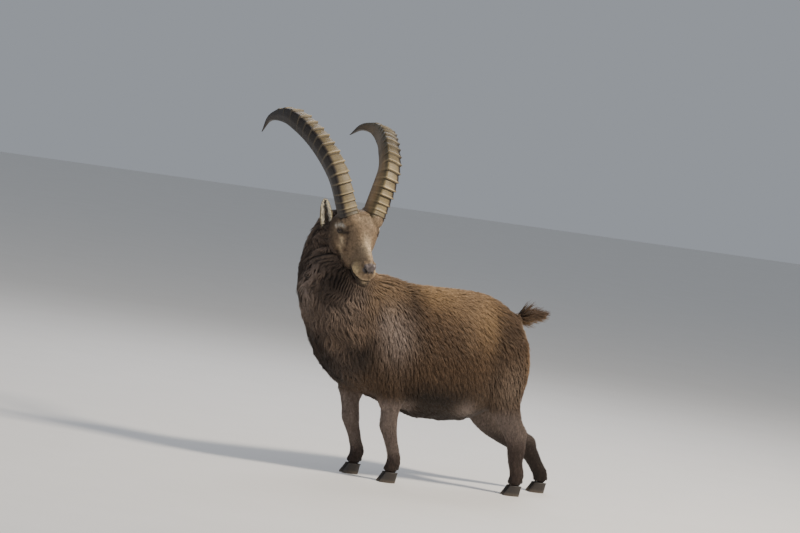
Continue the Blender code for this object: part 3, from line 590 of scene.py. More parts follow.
class Regions:
    """Soft weights from 0 to 1 that say which part of the body a point belongs to."""

    def __init__(self, points: np.ndarray) -> None:
        """Works out every weight.

        Args:
            points: world points, one per row.
        """
        self.world = points
        self.p = points - STAND
        self.head_local = HEAD.local(points)
        x, y, z = self.p.T
        near = np.linalg.norm(self.p - np.array((0.10, -0.38, 1.05)), axis=1)
        front = (self.p - np.array((0.0, -0.380, 1.065))) @ np.array((0.845, 0.0, 0.534))
        self.face_side = front
        self.head = fade(front, -0.012, 0.022) * fade(near, 0.29, 0.25)
        above = (self.p - np.array((0.0, -0.340, 0.752))) @ np.array((0.0, -0.667, 0.745))
        self.neck = fade(above, -0.10, 0.06) * (1 - self.head)
        self.chest = fade(y, -0.22, -0.38) * fade(z, 0.36, 0.44) * (1 - self.neck) * (1 - self.head)
        fore = fade(y, 0.02, -0.02) * fade(z, 0.42, 0.335) * fade(np.abs(x), 0.050, 0.066)
        hind = fade(y, 0.36, 0.42) * fade(z, 0.44, 0.34) * fade(np.abs(x), 0.03, 0.06)
        self.leg = np.clip(fore + hind, 0, 1)
        self.hindleg = hind
        self.rump = fade(y, 0.36, 0.48) * (1 - self.leg)
        self.belly_hair_and_shade = fade(z, 0.43, 0.33) * (1 - self.leg) * fade(y, -0.30, -0.18) * (1 - self.rump)
        self.trunk = np.clip(1 - self.head - self.neck - self.leg, 0, 1)


@dataclass(frozen=True)
class Patch:
    """A soft patch of one colour on the trunk: middle and reach along Y and Z."""

    colour: Palette
    y: float
    z: float
    reach_y: float
    reach_z: float
    strength: float
    side: int = 0  # 0 for both flanks

    def weight(self, p: np.ndarray) -> np.ndarray:
        """How much of the patch's colour each point takes."""
        far = ((p[:, 1] - self.y) / self.reach_y) ** 2 + ((p[:, 2] - self.z) / self.reach_z) ** 2
        return self.strength * np.exp(-far)


class Markings:
    """The buck's colours by place, with painted light and shade laid among them. The skin and every tuft ask here."""

    patches = (
        Patch(Palette.TAN, 0.10, 0.88, 0.26, 0.075, 0.95),
        Patch(Palette.LOIN, 0.22, 0.82, 0.10, 0.10, 0.85),
        Patch(Palette.TAN, 0.30, 0.76, 0.07, 0.10, 0.55),
        Patch(Palette.LOIN, 0.20, 0.68, 0.03, 0.04, 0.35),
        Patch(Palette.FLANK_DARK_AND_SHADE, -0.07, 0.80, 0.045, 0.10, 0.75),
        Patch(Palette.TAN, -0.185, 0.80, 0.030, 0.15, 0.45),
        Patch(Palette.FLANK_DARK_AND_SHADE, 0.10, 0.62, 0.16, 0.10, 0.35),
        # Dark lower barrel: its own dark hair with painted shade under the body.
        Patch(Palette.BELLY_HAIR_AND_SHADE, 0.08, 0.42, 0.20, 0.075, 0.85),
        # Painted shade in the flank fold before the thigh.
        Patch(Palette.FLANK_DARK_AND_SHADE, 0.35, 0.60, 0.035, 0.16, 0.55),
        Patch(Palette.FLANK_DARK_AND_SHADE, 0.40, 0.74, 0.06, 0.06, 0.55),
        Patch(Palette.THIGH, 0.44, 0.50, 0.09, 0.12, 0.7),
        # Painted light: a pale band down the rump's lit rear edge.
        Patch(Palette.RUMP_EDGE_LIGHT, 0.55, 0.64, 0.035, 0.16, 0.7),
        Patch(Palette.SHOULDER_AND_LIGHT, -0.16, 0.65, 0.09, 0.11, 0.65),
        Patch(Palette.SHOULDER_AND_LIGHT, -0.20, 0.74, 0.07, 0.08, 0.55),
        Patch(Palette.FLANK_DARK_AND_SHADE, -0.18, 0.50, 0.06, 0.05, 0.45),
        Patch(Palette.RUFF_DARK_AND_SHADE, -0.30, 0.55, 0.055, 0.045, 0.7),
    )

    def face(self, q: np.ndarray, base: np.ndarray) -> np.ndarray:
        """Lays the head's colours, with painted light and shade among them, over a base.

        Args:
            q: points in the head's frame.
            base: one linear colour per point.

        Returns:
            The colours of the face.
        """
        a, l, h = q.T
        side = np.abs(l)

        def lay(colour: Palette, weight: np.ndarray) -> None:
            nonlocal base
            base = base + (tone(colour) - base) * np.clip(weight, 0, 1)[:, None]

        def blob(centre: tuple[float, float, float], reach: tuple[float, float, float]) -> np.ndarray:
            gap = np.stack([(a - centre[0]) / reach[0], (side - centre[1]) / reach[1], (h - centre[2]) / reach[2]])
            return np.exp(-(gap**2).sum(0))

        def trail(colour: Palette, weight: float, spots: tuple, reach: tuple[float, float, float]) -> None:
            lay(colour, weight * np.max([blob(spot, reach) for spot in spots], axis=0))

        # Painted shade under the jaw and throat, over their darker hair.
        lay(Palette.FACE_DARK_AND_SHADE, 0.7 * fade(h, -0.095, -0.130) * fade(a, 0.17, 0.11))
        # The dark poll behind the horn roots: darker hair with painted shadow under the horns.
        lay(Palette.FACE_DARK_AND_SHADE, 0.85 * fade(a, 0.01, -0.03) * fade(h, 0.01, -0.02))
        # Painted shade on the side of the cheek.
        lay(Palette.FACE_DARK_AND_SHADE, 0.60 * blob((0.020, 0.084, -0.110), (0.034, 0.03, 0.030)))
        # The dark chin hair, with painted shade under the chin.
        lay(Palette.FACE_DARK_AND_SHADE, 0.85 * blob((0.150, 0.034, -0.137), (0.045, 0.03, 0.018)))
        lay(Palette.FACE_DARK_AND_SHADE, 0.45 * blob((0.095, 0.018, -0.006), (0.022, 0.014, 0.02)))
        # Painted shadow round the horn roots, over darker hair.
        lay(Palette.FACE_DARK_AND_SHADE, 0.45 * blob((0.052, 0.062, 0.030), (0.018, 0.040, 0.018)))
        lay(Palette.FACE_DARK_AND_SHADE, 0.12 * blob((0.139, 0.040, -0.050), (0.030, 0.02, 0.022)))
        # Pale hair on the nose bridge, with painted light where the bridge is lit.
        lay(Palette.FACE_PALE_AND_LIGHT, 0.80 * blob((0.156, 0.0, -0.012), (0.060, 0.021, 0.03)))
        lay(Palette.FACE_PALE_AND_LIGHT, 0.30 * blob((0.045, 0.03, 0.02), (0.030, 0.04, 0.03)))
        # A painted shade line before the eye, where the lit front of the face turns into the shaded side.
        shade_before_eye = ((0.066, 0.068, 0.000), (0.078, 0.066, -0.014), (0.090, 0.063, -0.032), (0.098, 0.059, -0.056), (0.103, 0.056, -0.080))
        trail(Palette.FACE_DARK_AND_SHADE, 0.85, shade_before_eye, (0.0075, 0.03, 0.014))
        trail(Palette.FACE_PALE_AND_LIGHT, 0.95, ((0.066, 0.071, -0.058), (0.076, 0.068, -0.066)), (0.013, 0.03, 0.009))
        trail(Palette.FACE_PALE_AND_LIGHT, 0.50, ((0.074, 0.063, -0.092), (0.082, 0.060, -0.108), (0.097, 0.053, -0.126)), (0.012, 0.03, 0.012))
        # Painted shade in the crease of the lip fold.
        fold = ((0.158, 0.040, -0.100), (0.163, 0.040, -0.086), (0.172, 0.036, -0.070), (0.184, 0.031, -0.058))
        trail(Palette.BLACK_BROWN_AND_SHADE, 0.65, fold, (0.0055, 0.03, 0.0085))
        lay(Palette.MUZZLE, 0.95 * blob((0.207, 0.044, -0.082), (0.028, 0.03, 0.020)))
        lay(Palette.FACE_PALE_AND_LIGHT, 0.45 * blob((0.236, 0.0, -0.094), (0.020, 0.05, 0.007)))
        # Dark hair under the muzzle, with painted shade below the mouth.
        lay(Palette.BLACK_BROWN_AND_SHADE, 0.85 * fade(h, -0.105, -0.112) * fade(a, 0.14, 0.17))
        lay(Palette.FACE_PALE_AND_LIGHT, 0.55 * blob((0.250, 0.0, -0.113), (0.009, 0.018, 0.005)))
        # Painted shade under the upper lip along the mouth line.
        mouth = ((0.172, 0.046, -0.111), (0.182, 0.045, -0.111), (0.193, 0.044, -0.110), (0.204, 0.040, -0.109))
        mouth = mouth + ((0.215, 0.037, -0.108), (0.226, 0.031, -0.107), (0.236, 0.024, -0.106), (0.246, 0.012, -0.105))
        trail(Palette.BLACK_BROWN_AND_SHADE, 0.92, mouth, (0.011, 0.03, 0.0042))
        lay(Palette.BLACK_BROWN_AND_SHADE, 0.55 * nose_pad(q))
        # Painted shade in the nostril slits.
        lay(Palette.BLACK_BROWN_AND_SHADE, 0.9 * nostril_slot(q))
        brow = ((0.006, 0.084, -0.046), (0.018, 0.086, -0.031), (0.032, 0.085, -0.017), (0.046, 0.081, -0.007))
        trail(Palette.WHITE, 0.72, brow, (0.0085, 0.03, 0.0072))
        slit, over = (a - 0.042) * 0.8 + (h + 0.035) * 0.6, (h + 0.035) * 0.8 - (a - 0.042) * 0.6
        rim = np.exp(-((((slit - 0.004) / 0.0290) ** 2 + ((over + 0.002) / 0.0118) ** 2) ** 2)) * fade(side, 0.045, 0.055)
        tear = np.exp(-(((slit - 0.032) / 0.014) ** 2) - ((over + 0.005) / 0.0060) ** 2) * fade(side, 0.045, 0.055)
        lay(Palette.BLACK_BROWN_AND_SHADE, 0.92 * rim)
        lay(Palette.BLACK_BROWN_AND_SHADE, 0.85 * tear)
        return base

    def at(self, points: np.ndarray) -> np.ndarray:
        """The coat's colour at world points.

        Args:
            points: one row per point.

        Returns:
            One linear colour per point.
        """
        part = Regions(points)
        x, y, z = part.p.T
        colour = np.tile(tone(Palette.BARREL), (len(points), 1))

        def lay(shade: Palette, weight: np.ndarray) -> None:
            nonlocal colour
            colour = colour + (tone(shade) - colour) * np.clip(weight, 0, 1)[:, None]

        for patch in self.patches:
            lay(patch.colour, patch.weight(part.p))
        # The belly's dark hair, darkened further as painted shade.
        lay(Palette.BELLY_HAIR_AND_SHADE, 0.8 * part.belly_hair_and_shade)
        lay(Palette.RUFF, part.neck)
        lay(Palette.RUFF, 0.8 * part.chest)
        # The dark lower chest: its own dark hair with painted shade under the chest.
        lay(Palette.RUFF_DARK_AND_SHADE, 0.80 * fade(z, 0.66, 0.52) * fade(y, -0.22, -0.40))
        # Painted shade on the chest's right side, turned from the light.
        lay(Palette.RUFF_DARK_AND_SHADE, 0.80 * fade(x, 0.12, 0.05) * fade(z, 0.74, 0.62) * fade(y, -0.30, -0.40))
        swirl = np.exp(-(((y + 0.300) / 0.055) ** 2) - ((z - 0.600) / 0.060) ** 2)
        lay(Palette.RUFF_DARK_AND_SHADE, 0.80 * swirl * fade(x, -0.05, 0.05))
        # Painted shade on the neck below the head.
        shade = np.exp(-(((np.abs(x - 0.02) - 0.062) / 0.040) ** 2) - ((z - 0.890) / 0.110) ** 2)
        lay(Palette.RUFF_DARK_AND_SHADE, 0.80 * shade * part.neck * fade(y, -0.36, -0.42))
        # A painted highlight down the front of the neck.
        lit = np.exp(-(((x - 0.005) / 0.030) ** 2) - ((z - 0.850) / 0.120) ** 2)
        lay(Palette.SHOULDER_AND_LIGHT, 0.40 * lit * part.neck * fade(y, -0.44, -0.50))
        # Painted shade on the neck's right side.
        lay(Palette.RUFF_DARK_AND_SHADE, 0.6 * part.neck * fade(x, 0.00, -0.12) * fade(z, 1.1, 0.9))
        lay(Palette.TAN, 0.45 * np.clip(part.neck + part.chest, 0, 1) * fade(y, -0.33, -0.24) * fade(z, 0.66, 0.76))
        lay(Palette.LEG, part.leg)
        lay(Palette.LEG_GREY, 0.55 * part.leg * fade(y, 0.0, -0.05) * fade(z, 0.10, 0.16))
        # Painted shade on the far, right hind leg.
        lay(Palette.BLACK_BROWN_AND_SHADE, 0.75 * part.hindleg * fade(x, 0.0, -0.04))
        lay(Palette.LEG_GREY, 0.6 * part.leg * fade(z, 0.20, 0.30))
        lay(Palette.BLACK_BROWN_AND_SHADE, 0.6 * part.leg * fade(z, 0.13, 0.05))
        groin = np.exp(-(((y - 0.245) / 0.050) ** 2) - ((z - 0.385) / 0.040) ** 2)
        lay(Palette.LEG_GREY, 0.75 * groin)
        under_tail = np.exp(-(((y - 0.545) / 0.03) ** 2) - ((z - 0.745) / 0.035) ** 2 - (x / 0.05) ** 2)
        lay(Palette.WHITE, 0.95 * under_tail)
        lay(Palette.BLACK_BROWN_AND_SHADE, 0.9 * fade(y, 0.53, 0.57) * fade(z, 0.775, 0.80))
        face = self.face(part.head_local, np.tile(tone(Palette.FACE), (len(points), 1)))
        return colour + (face - colour) * part.head[:, None]


def nose_pad(q: np.ndarray) -> np.ndarray:
    """How far each point of the head's frame lies on the bare nose pad, 0 to 1."""
    a, l, h = q.T
    low, high = fade(h, -0.070, -0.060), fade(h, -0.017, -0.028)
    return fade(a, 0.221, 0.233) * low * high * fade(np.abs(l), 0.035, 0.027)


def nostril_slot(q: np.ndarray) -> np.ndarray:
    """How near each point of the head's frame is to the dark slit of a nostril, 0 to 1."""
    spots = ((0.222, 0.029, -0.050), (0.230, 0.0265, -0.0515), (0.2375, 0.022, -0.0535), (0.2445, 0.016, -0.056), (0.250, 0.010, -0.059))
    fine = curve_rows(spots, 4)
    sided = q * np.array((1, 0, 1)) + np.abs(q * np.array((0, 1, 0)))
    far = np.min([np.linalg.norm(sided - spot, axis=1) for spot in fine], axis=0)
    return np.exp(-((far / 0.0050) ** 2))


@dataclass(frozen=True)
class LieOfCoat:
    """Which way the hair lies at each place, and how long and deep it is."""

    swirl: tuple[float, float, float] = (0.190, -0.290, 0.590)  # where neck and shoulder hair meet
    ruff_length: float = 0.072
    barrel_length: float = 0.040
    leg_length: float = 0.014
    face_length: float = 0.0085

    def depth(self, part: Regions) -> np.ndarray:
        """How deep the coat stands over the skin."""
        d = 0.010 + 0.005 * part.neck + 0.004 * part.chest + 0.002 * part.belly_hair_and_shade
        d = d * (1 - part.leg) + 0.0028 * part.leg
        near_head = fade(part.face_side, -0.10, 0.0) * part.neck
        d = d * (1 - 0.6 * near_head)
        return d * (1 - part.head) + 0.0018 * part.head

    def length(self, part: Regions) -> np.ndarray:
        """How long the hair is."""
        out = np.full(len(part.p), self.barrel_length)
        out += (self.ruff_length - self.barrel_length) * np.clip(part.neck + part.chest, 0, 1)
        out += 0.012 * part.belly_hair_and_shade
        out -= 0.010 * part.rump
        out = out * (1 - part.leg) + self.leg_length * part.leg
        near_head = fade(part.face_side, -0.14, 0.0) * part.neck
        out = out * (1 - 0.5 * near_head)
        a, l, h = part.head_local.T
        face = self.face_length + 0.014 * fade(a, 0.00, -0.04) + 0.012 * fade(h, -0.11, -0.15) + 0.010 * fade(h, 0.006, 0.03) * fade(a, 0.06, 0.02)
        return out * (1 - part.head) + face * part.head

    def heading(self, part: Regions) -> np.ndarray:
        """Which way the hair points, not yet laid on the surface."""
        x, y, z = part.p.T
        drop = np.interp(z, (0.30, 0.40, 0.60, 0.75, 0.84, 0.90), (0.5, 1.10, 1.12, 0.95, 0.60, 0.15))
        trunk = np.stack([0.0 * x, np.cos(drop), -np.sin(drop)], 1)
        shoulder = np.exp(-(((y + 0.17) / 0.12) ** 2))[:, None] * fade(z, 0.86, 0.74)[:, None]
        trunk = trunk * (1 - shoulder) + np.array((0.0, 0.22, -1.0)) * shoulder
        rump = part.rump[:, None]
        trunk = trunk * (1 - rump) + np.array((0.0, 0.25, -0.95)) * rump
        swirl = np.array(self.swirl)[None] * np.stack([np.where(x > -0.02, 1.0, -1.0), np.ones_like(x), np.ones_like(x)], 1)
        toward = unit(swirl - part.p)
        pull = (0.60 * fade(z, 1.02, 0.70) * fade(z, 0.56, 0.66))[:, None]
        ruff = unit(np.array((0.0, 0.10, -1.0)) * (1 - pull) + toward * pull)
        ruff = ruff + np.array((0.0, 0.8, 0.25)) * fade(z, 0.56, 0.42)[:, None]
        front = np.clip(part.neck + part.chest, 0, 1)[:, None]
        body = trunk * (1 - front) + unit(ruff) * front
        leg = part.leg[:, None]
        body = body * (1 - leg) + np.array((0.0, 0.05, -1.0)) * leg
        a, l, h = part.head_local.T
        back = np.stack([-np.ones_like(a), 0.0 * l, -0.15 - 0.45 * fade(h, -0.04, -0.12)], 1)
        eye = np.array((0.042, 0.0730, -0.035))
        away = np.stack([a - eye[0], 0 * a, h - eye[2]], 1)
        close = np.exp(-((away**2).sum(1)) / 0.030**2)[:, None]
        back = back * (1 - 0.75 * close) + unit(away) * 0.75 * close
        chin = (fade(h, -0.098, -0.112) * fade(a, 0.12, 0.15))[:, None]
        back = back * (1 - chin) + np.array((-0.6, 0.0, -1.0)) * chin
        face = back @ HEAD.axes().T
        head = part.head[:, None]
        return unit(body * (1 - head) + face * head)


@dataclass
class Skin:
    """One skin over trunk, neck, legs, tail, head and ears, inside the coat by its depth."""

    body_voxel: float = 0.0062
    head_voxel: float = 0.0024
    seam_close: float = 0.0010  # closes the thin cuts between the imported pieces
    # Head sections: a, underside h, ridge h, half width, share of height where widest, ridge taper
    head_rows: Rows = (
        (-0.084, -0.124, -0.060, 0.046, 0.5, 0.1),
        (-0.070, -0.150, -0.030, 0.068, 0.5, 0.1),
        (-0.042, -0.168, 0.004, 0.080, 0.55, 0.15),
        (-0.010, -0.172, 0.034, 0.083, 0.60, 0.18),
        (0.030, -0.170, 0.048, 0.081, 0.64, 0.12),
        (0.066, -0.170, 0.036, 0.073, 0.68, 0.10),
        (0.100, -0.162, 0.015, 0.061, 0.70, 0.16),
        (0.132, -0.152, -0.002, 0.044, 0.58, 0.38),
        (0.164, -0.146, -0.008, 0.041, 0.46, 0.46),
        (0.192, -0.141, -0.013, 0.040, 0.40, 0.46),
        (0.216, -0.136, -0.019, 0.037, 0.40, 0.42),
        (0.236, -0.128, -0.029, 0.030, 0.42, 0.30),
        (0.250, -0.114, -0.046, 0.019, 0.45, 0.20),
    )
    # Fleshy forms on both sides of the head: centre, radii
    head_forms: tuple = (
        ((0.038, 0.060, -0.020), (0.036, 0.026, 0.026)),
        ((0.010, 0.058, -0.100), (0.060, 0.028, 0.050)),
        ((0.221, 0.016, -0.050), (0.026, 0.014, 0.020)),
        ((0.232, 0.010, -0.060), (0.021, 0.016, 0.022)),
        ((0.200, 0.026, -0.088), (0.040, 0.020, 0.022)),
        ((0.225, 0.014, -0.084), (0.027, 0.020, 0.020)),
        ((-0.004, 0.046, 0.006), (0.050, 0.038, 0.030)),
        ((0.031, 0.050, 0.020), (0.034, 0.037, 0.034)),
        ((0.042, 0.0730, -0.035), (0.0196, 0.0196, 0.0196)),
        ((0.223, 0.000, -0.127), (0.029, 0.027, 0.019)),
        ((0.090, 0.030, -0.115), (0.075, 0.026, 0.036)),
    )
    tail_rows: Rows = (
        (0.0, 0.455, 0.760, 0.030, 0.026),
        (0.0, 0.525, 0.794, 0.022, 0.018),
        (0.0, 0.575, 0.812, 0.016, 0.013),
        (0.0, 0.606, 0.818, 0.008, 0.007),
    )
    mouth: Rows = (
        (0.176, 0.046, -0.111),
        (0.190, 0.044, -0.110),
        (0.215, 0.037, -0.108),
        (0.236, 0.024, -0.106),
        (0.248, 0.010, -0.105),
        (0.251, 0.000, -0.105),
    )
    lip_fold: Rows = ((0.156, 0.040, -0.104), (0.163, 0.040, -0.086), (0.173, 0.036, -0.069), (0.190, 0.030, -0.055))
    tear_fold: Rows = ((0.074, 0.066, -0.010), (0.090, 0.063, -0.032), (0.098, 0.059, -0.056), (0.103, 0.056, -0.080))
    nostril: Rows = ((0.2550, 0.0060, -0.0615), (0.2470, 0.0160, -0.0580), (0.2370, 0.0230, -0.0540), (0.2260, 0.0275, -0.0500))
    mesh: bpy.types.Mesh = field(init=False)

    def section(self, around: int, half: float, low: float, high: float, widest: float, taper: float) -> np.ndarray:
        """An egg-shaped section as (sideways, up) pairs, narrower towards its top."""
        angles = np.linspace(0, 2 * math.pi, around, endpoint=False)
        middle = low + widest * (high - low)
        up = np.sign(np.sin(angles)) * np.abs(np.sin(angles)) ** 0.86
        aside = np.sign(np.cos(angles)) * np.abs(np.cos(angles)) ** 0.86
        rise = np.where(up > 0, (high - middle) * up, (middle - low) * up)
        return np.stack([half * aside * (1 - taper * np.clip(up, 0, 1)), middle + rise], 1)

    def ball(self, centre: tuple[float, float, float], radii: tuple[float, float, float]) -> bpy.types.Mesh:
        """An ellipsoid of the head's frame."""
        work = bmesh.new()
        bmesh.ops.create_uvsphere(work, u_segments=32, v_segments=20, radius=1.0)
        made = bpy.data.meshes.new("form")
        work.to_mesh(made)
        work.free()
        set_places(made, places(made) * np.array(radii) + np.array(centre))
        return made

    def head_shell(self) -> bpy.types.Mesh:
        """The head from its sections and forms, with mouth, nostrils and eye openings."""
        rings = []
        for a, low, high, half, widest, taper in curve_rows(self.head_rows, 6):
            pairs = self.section(56, half, low, high, widest, taper)
            rings.append(np.column_stack([np.full(len(pairs), a), pairs]))
        forms = [loft("skull", np.array(rings))]
        for centre, radii in self.head_forms:
            forms.append(self.ball(centre, radii))
            forms.append(self.ball((centre[0], -centre[1], centre[2]), radii))
        shell = fused("head", forms, self.head_voxel / HEAD.scale, 9)
        q = places(shell)
        out = normals(shell)
        mirrored = q * np.array((1, 0, 1)) + np.abs(q * np.array((0, 1, 0)))
        q = q - out * 0.0016
        q, groove = self.press(q, mirrored, out, self.mouth, 0.0032, 0.0075)
        q, hole = self.press(q, mirrored, out, self.nostril, 0.0056, 0.0140)
        q, _ = self.press(q, mirrored, out, self.lip_fold, 0.0050, 0.0026)
        q, _ = self.press(q, mirrored, out, self.tear_fold, 0.0060, 0.0036)
        q = self.soften(q, mirrored, out)
        set_places(shell, HEAD.place(q))
        shell["groove"] = 1
        # Painted shade for the pressed mouth groove and the nostrils.
        self.head_recess_shade = np.clip(groove * 0.9 + hole, 0, 1)
        return shell

    def press(self, q: np.ndarray, mirrored: np.ndarray, out: np.ndarray, line: Rows, reach: float, deep: float) -> tuple[np.ndarray, np.ndarray]:
        """Presses a line into both sides of the head.

        Args:
            q: vertices in the head's frame.
            mirrored: the same with both sides laid on the left one.
            out: their normals.
            line: the pressed line on the left side.
            reach: how far from the line it is felt.
            deep: how deep it goes.

        Returns:
            The moved vertices, and how much each was pressed, 0 to 1.
        """
        spots = curve_rows(line, 12)
        spots = np.array([mirrored[np.argmin(((mirrored - spot) ** 2).sum(1))] for spot in spots])
        far = np.full(len(q), 1.0)
        for spot in spots:
            far = np.minimum(far, np.linalg.norm(mirrored - spot, axis=1))
        weight = np.exp(-((far / reach) ** 2))
        return q - out * (deep * weight)[:, None], weight

    def soften(self, q: np.ndarray, mirrored: np.ndarray, out: np.ndarray) -> np.ndarray:
        """Adds the folds of brow, cheek and lips and opens the skin over the eyes."""
        a, l, h = mirrored.T

        def form(centre: tuple[float, float, float], reach: tuple[float, float, float], rise: float) -> np.ndarray:
            gap = (mirrored - np.array(centre)) / np.array(reach)
            return rise * np.exp(-(gap**2).sum(1))

        rise = form((0.040, 0.080, -0.022), (0.026, 0.03, 0.007), 0.0042)
        rise += form((0.070, 0.070, -0.030), (0.014, 0.03, 0.008), 0.0022)
        rise += form((0.086, 0.06, -0.040), (0.022, 0.02, 0.012), -0.0040)
        rise += form((0.088, 0.06, -0.075), (0.016, 0.02, 0.022), 0.0030)
        rise += form((0.125, 0.05, -0.060), (0.030, 0.02, 0.016), -0.0026)
        rise += form((0.185, 0.045, -0.100), (0.020, 0.02, 0.009), 0.0022)
        rise += form((0.205, 0.040, -0.120), (0.030, 0.02, 0.007), 0.0020)
        rise += form((0.196, 0.040, -0.058), (0.010, 0.02, 0.014), -0.0026)
        rise += form((0.100, 0.0, 0.004), (0.045, 0.012, 0.02), -0.0018)
        rise += form((0.070, 0.032, 0.012), (0.050, 0.012, 0.02), 0.0016)
        q = q + out * rise[:, None]
        eye = np.array((0.042, 0.0730, -0.035))
        for side in Side:
            centre = eye * np.array((1, side.value, 1))
            look = unit(np.array((0.45, side.value * 0.82, 0.20)))
            off = q - centre
            reach = np.linalg.norm(off, axis=1)
            angle = np.degrees(np.arccos(np.clip((off @ look) / np.maximum(reach, 1e-6), -1, 1)))
            open_here = fade(angle, 60.0, 48.0) * fade(reach, 0.032, 0.026)
            goal = centre + unit(off) * 0.0132
            q = q + (goal - q) * open_here[:, None]
        return q

    def body_shell(self) -> bpy.types.Mesh:
        """Trunk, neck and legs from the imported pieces, their cuts closed, sunk by the coat's depth."""
        parts = []
        for name in BODY_NODES:
            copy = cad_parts[name].data.copy()
            work = bmesh.new()
            work.from_mesh(copy)
            bmesh.ops.remove_doubles(work, verts=work.verts, dist=1e-6)
            work.normal_update()
            for vert, move in [(vert, vert.normal * self.seam_close) for vert in work.verts]:
                vert.co += move
            work.to_mesh(copy)
            work.free()
            parts.append(copy)
        rings = []
        for x, y, z, half, deep in curve_rows(self.tail_rows, 6):
            angles = np.linspace(0, 2 * math.pi, 20, endpoint=False)
            ring = np.stack([x + half * np.cos(angles), y - 0.3 * deep * np.sin(angles), z + deep * np.sin(angles)], 1)
            rings.append(ring + STAND)
        parts.append(loft("dock", np.array(rings)))
        shell = fused("body", parts, self.body_voxel, 7)
        for _ in range(3):
            points = places(shell)
            part = Regions(points)
            depth = LieOfCoat().depth(part) / 3
            set_places(shell, points - normals(shell) * depth[:, None])
        return shell

    def build(self, ears: list[bpy.types.Mesh]) -> bpy.types.Object:
        """Makes the skin.

        Args:
            ears: the two ear shells.

        Returns:
            The skin's object, dressed and riding on the body.
        """
        head = self.head_shell()
        body = self.body_shell()
        shells = [body, head] + ears
        self.split = (len(body.polygons), len(body.polygons) + len(head.polygons))
        self.mesh = merged("skin", shells)
        points = places(self.mesh)
        colours = Markings().at(points)
        dark = np.zeros(len(points))
        start = len(body.vertices)
        dark[start : start + len(self.head_recess_shade)] = self.head_recess_shade
        # Painted shade in the mouth groove and the nostrils, also on the nose pad below.
        colours = colours * (1 - 0.85 * dark)[:, None]
        start += len(self.head_recess_shade)
        colours[start:] = tone(Palette.FACE) * 0.75
        local = HEAD.local(points)
        pad = nose_pad(local)
        colours = colours + (tone(Palette.NOSE) * (1 - 0.96 * dark)[:, None] - colours) * (0.85 * pad)[:, None]
        # Painted shade in the nostril slits.
        colours = colours * (1 - 0.93 * nostril_slot(local))[:, None]
        face = Regions(points).head[:, None]
        paint(self.mesh, "tint", colours * (0.78 + 0.18 * face))
        wet = self.mesh.attributes.new("wet", "FLOAT", "POINT")
        wet.data.foreach_set("value", np.clip(pad, 0, 1).astype(np.float32))
        skin = add_object("skin", self.mesh)
        skin.data.materials.append(HairyHide().make("hide_with_short_hair"))
        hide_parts(*FLESH_NODES)
        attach(skin, "root")
        return skin


@dataclass
class Ear:
    """One ear: a leaf rolled into a cup that opens forward."""

    side: Side
    root: tuple[float, float, float] = (-0.045, 0.083, -0.112)
    length: float = 0.138
    width: float = 0.057
    wall: float = 0.0026
    sink: float = 0.0006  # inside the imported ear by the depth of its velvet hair

    def frame_axes(self) -> tuple[np.ndarray, np.ndarray, np.ndarray]:
        """The ear's own long axis, the way it opens, and across, in the upright head frame."""
        held_back = self.side is Side.LEFT
        axis = unit(np.array((-0.47, 0.75, 0.47) if held_back else (-0.06, 0.17, 0.98)))
        opening = np.array((0.70, 0.60, -0.30) if held_back else (0.88, 0.42, 0.0))
        opening = unit(opening - axis * (axis @ opening))
        return axis, opening, np.cross(axis, opening)

    def place(self, points: np.ndarray) -> np.ndarray:
        """Puts points of the ear's frame in the world, mirrored for the right ear."""
        base = HEAD.place(np.array((self.root[0], self.side.value * self.root[1], self.root[2])))
        return base + (points * np.array((1, self.side.value, 1))) @ HEAD.upright().T

    def sheet(self, t: np.ndarray, a: np.ndarray, inner: bool) -> np.ndarray:
        """Points of the ear's outer or inner face.

        Args:
            t: 0 at the root to 1 at the tip.
            a: -1 to 1 across the leaf.
            inner: whether the inside of the cup is meant.

        Returns:
            World points.
        """
        axis, opening, wide = self.frame_axes()
        grown = np.clip(t, 0, 1)
        leaf = np.sin(math.pi * np.minimum(1.0, 0.16 + 0.84 * grown**0.9)) ** 0.46
        leaf = np.where(t < 0.02, 0.45, leaf)
        half = np.maximum(0.0032, 0.5 * (self.width - 2 * self.sink) * leaf)
        curl = 2.5 - 1.3 * grown
        radius = half / np.maximum(np.sin(np.minimum(curl / 2, math.pi / 2)), 0.3)
        angle = a * curl / 2
        across = radius * np.sin(angle)
        sunk = radius * (np.cos(angle) - np.cos(curl / 2))
        if inner:
            thin = self.wall * np.where(t > 0.05, 1.0, 2.6) * (1 - 0.5 * np.abs(a))
            across = across * np.maximum(0.0, 1 - thin / radius)
            sunk = sunk - thin
        spots = axis * ((self.length - 0.002) * t)[:, None] + opening * (0.012 * t * t)[:, None]
        spots = spots + wide * across[:, None] - opening * sunk[:, None]
        return self.place(spots)

    def build(self) -> bpy.types.Mesh:
        """The ear's closed shell."""
        rings = []
        spread = np.linspace(-1, 1, 15)
        for t in np.linspace(-0.10, 0.995, 30):
            outer = self.sheet(np.full(15, t), spread, False)
            inner = self.sheet(np.full(15, t), spread[::-1], True)
            rings.append(np.vstack([outer, inner]))
        return loft(f"ear_{self.side.word}", np.array(rings))


@dataclass
class TuftSet:
    """Roots of one piece of coat, with everything needed to grow its tufts."""

    roots: np.ndarray
    out: np.ndarray
    heading: np.ndarray
    length: np.ndarray
    width: np.ndarray
    height: np.ndarray
    tint: np.ndarray
    uv: np.ndarray


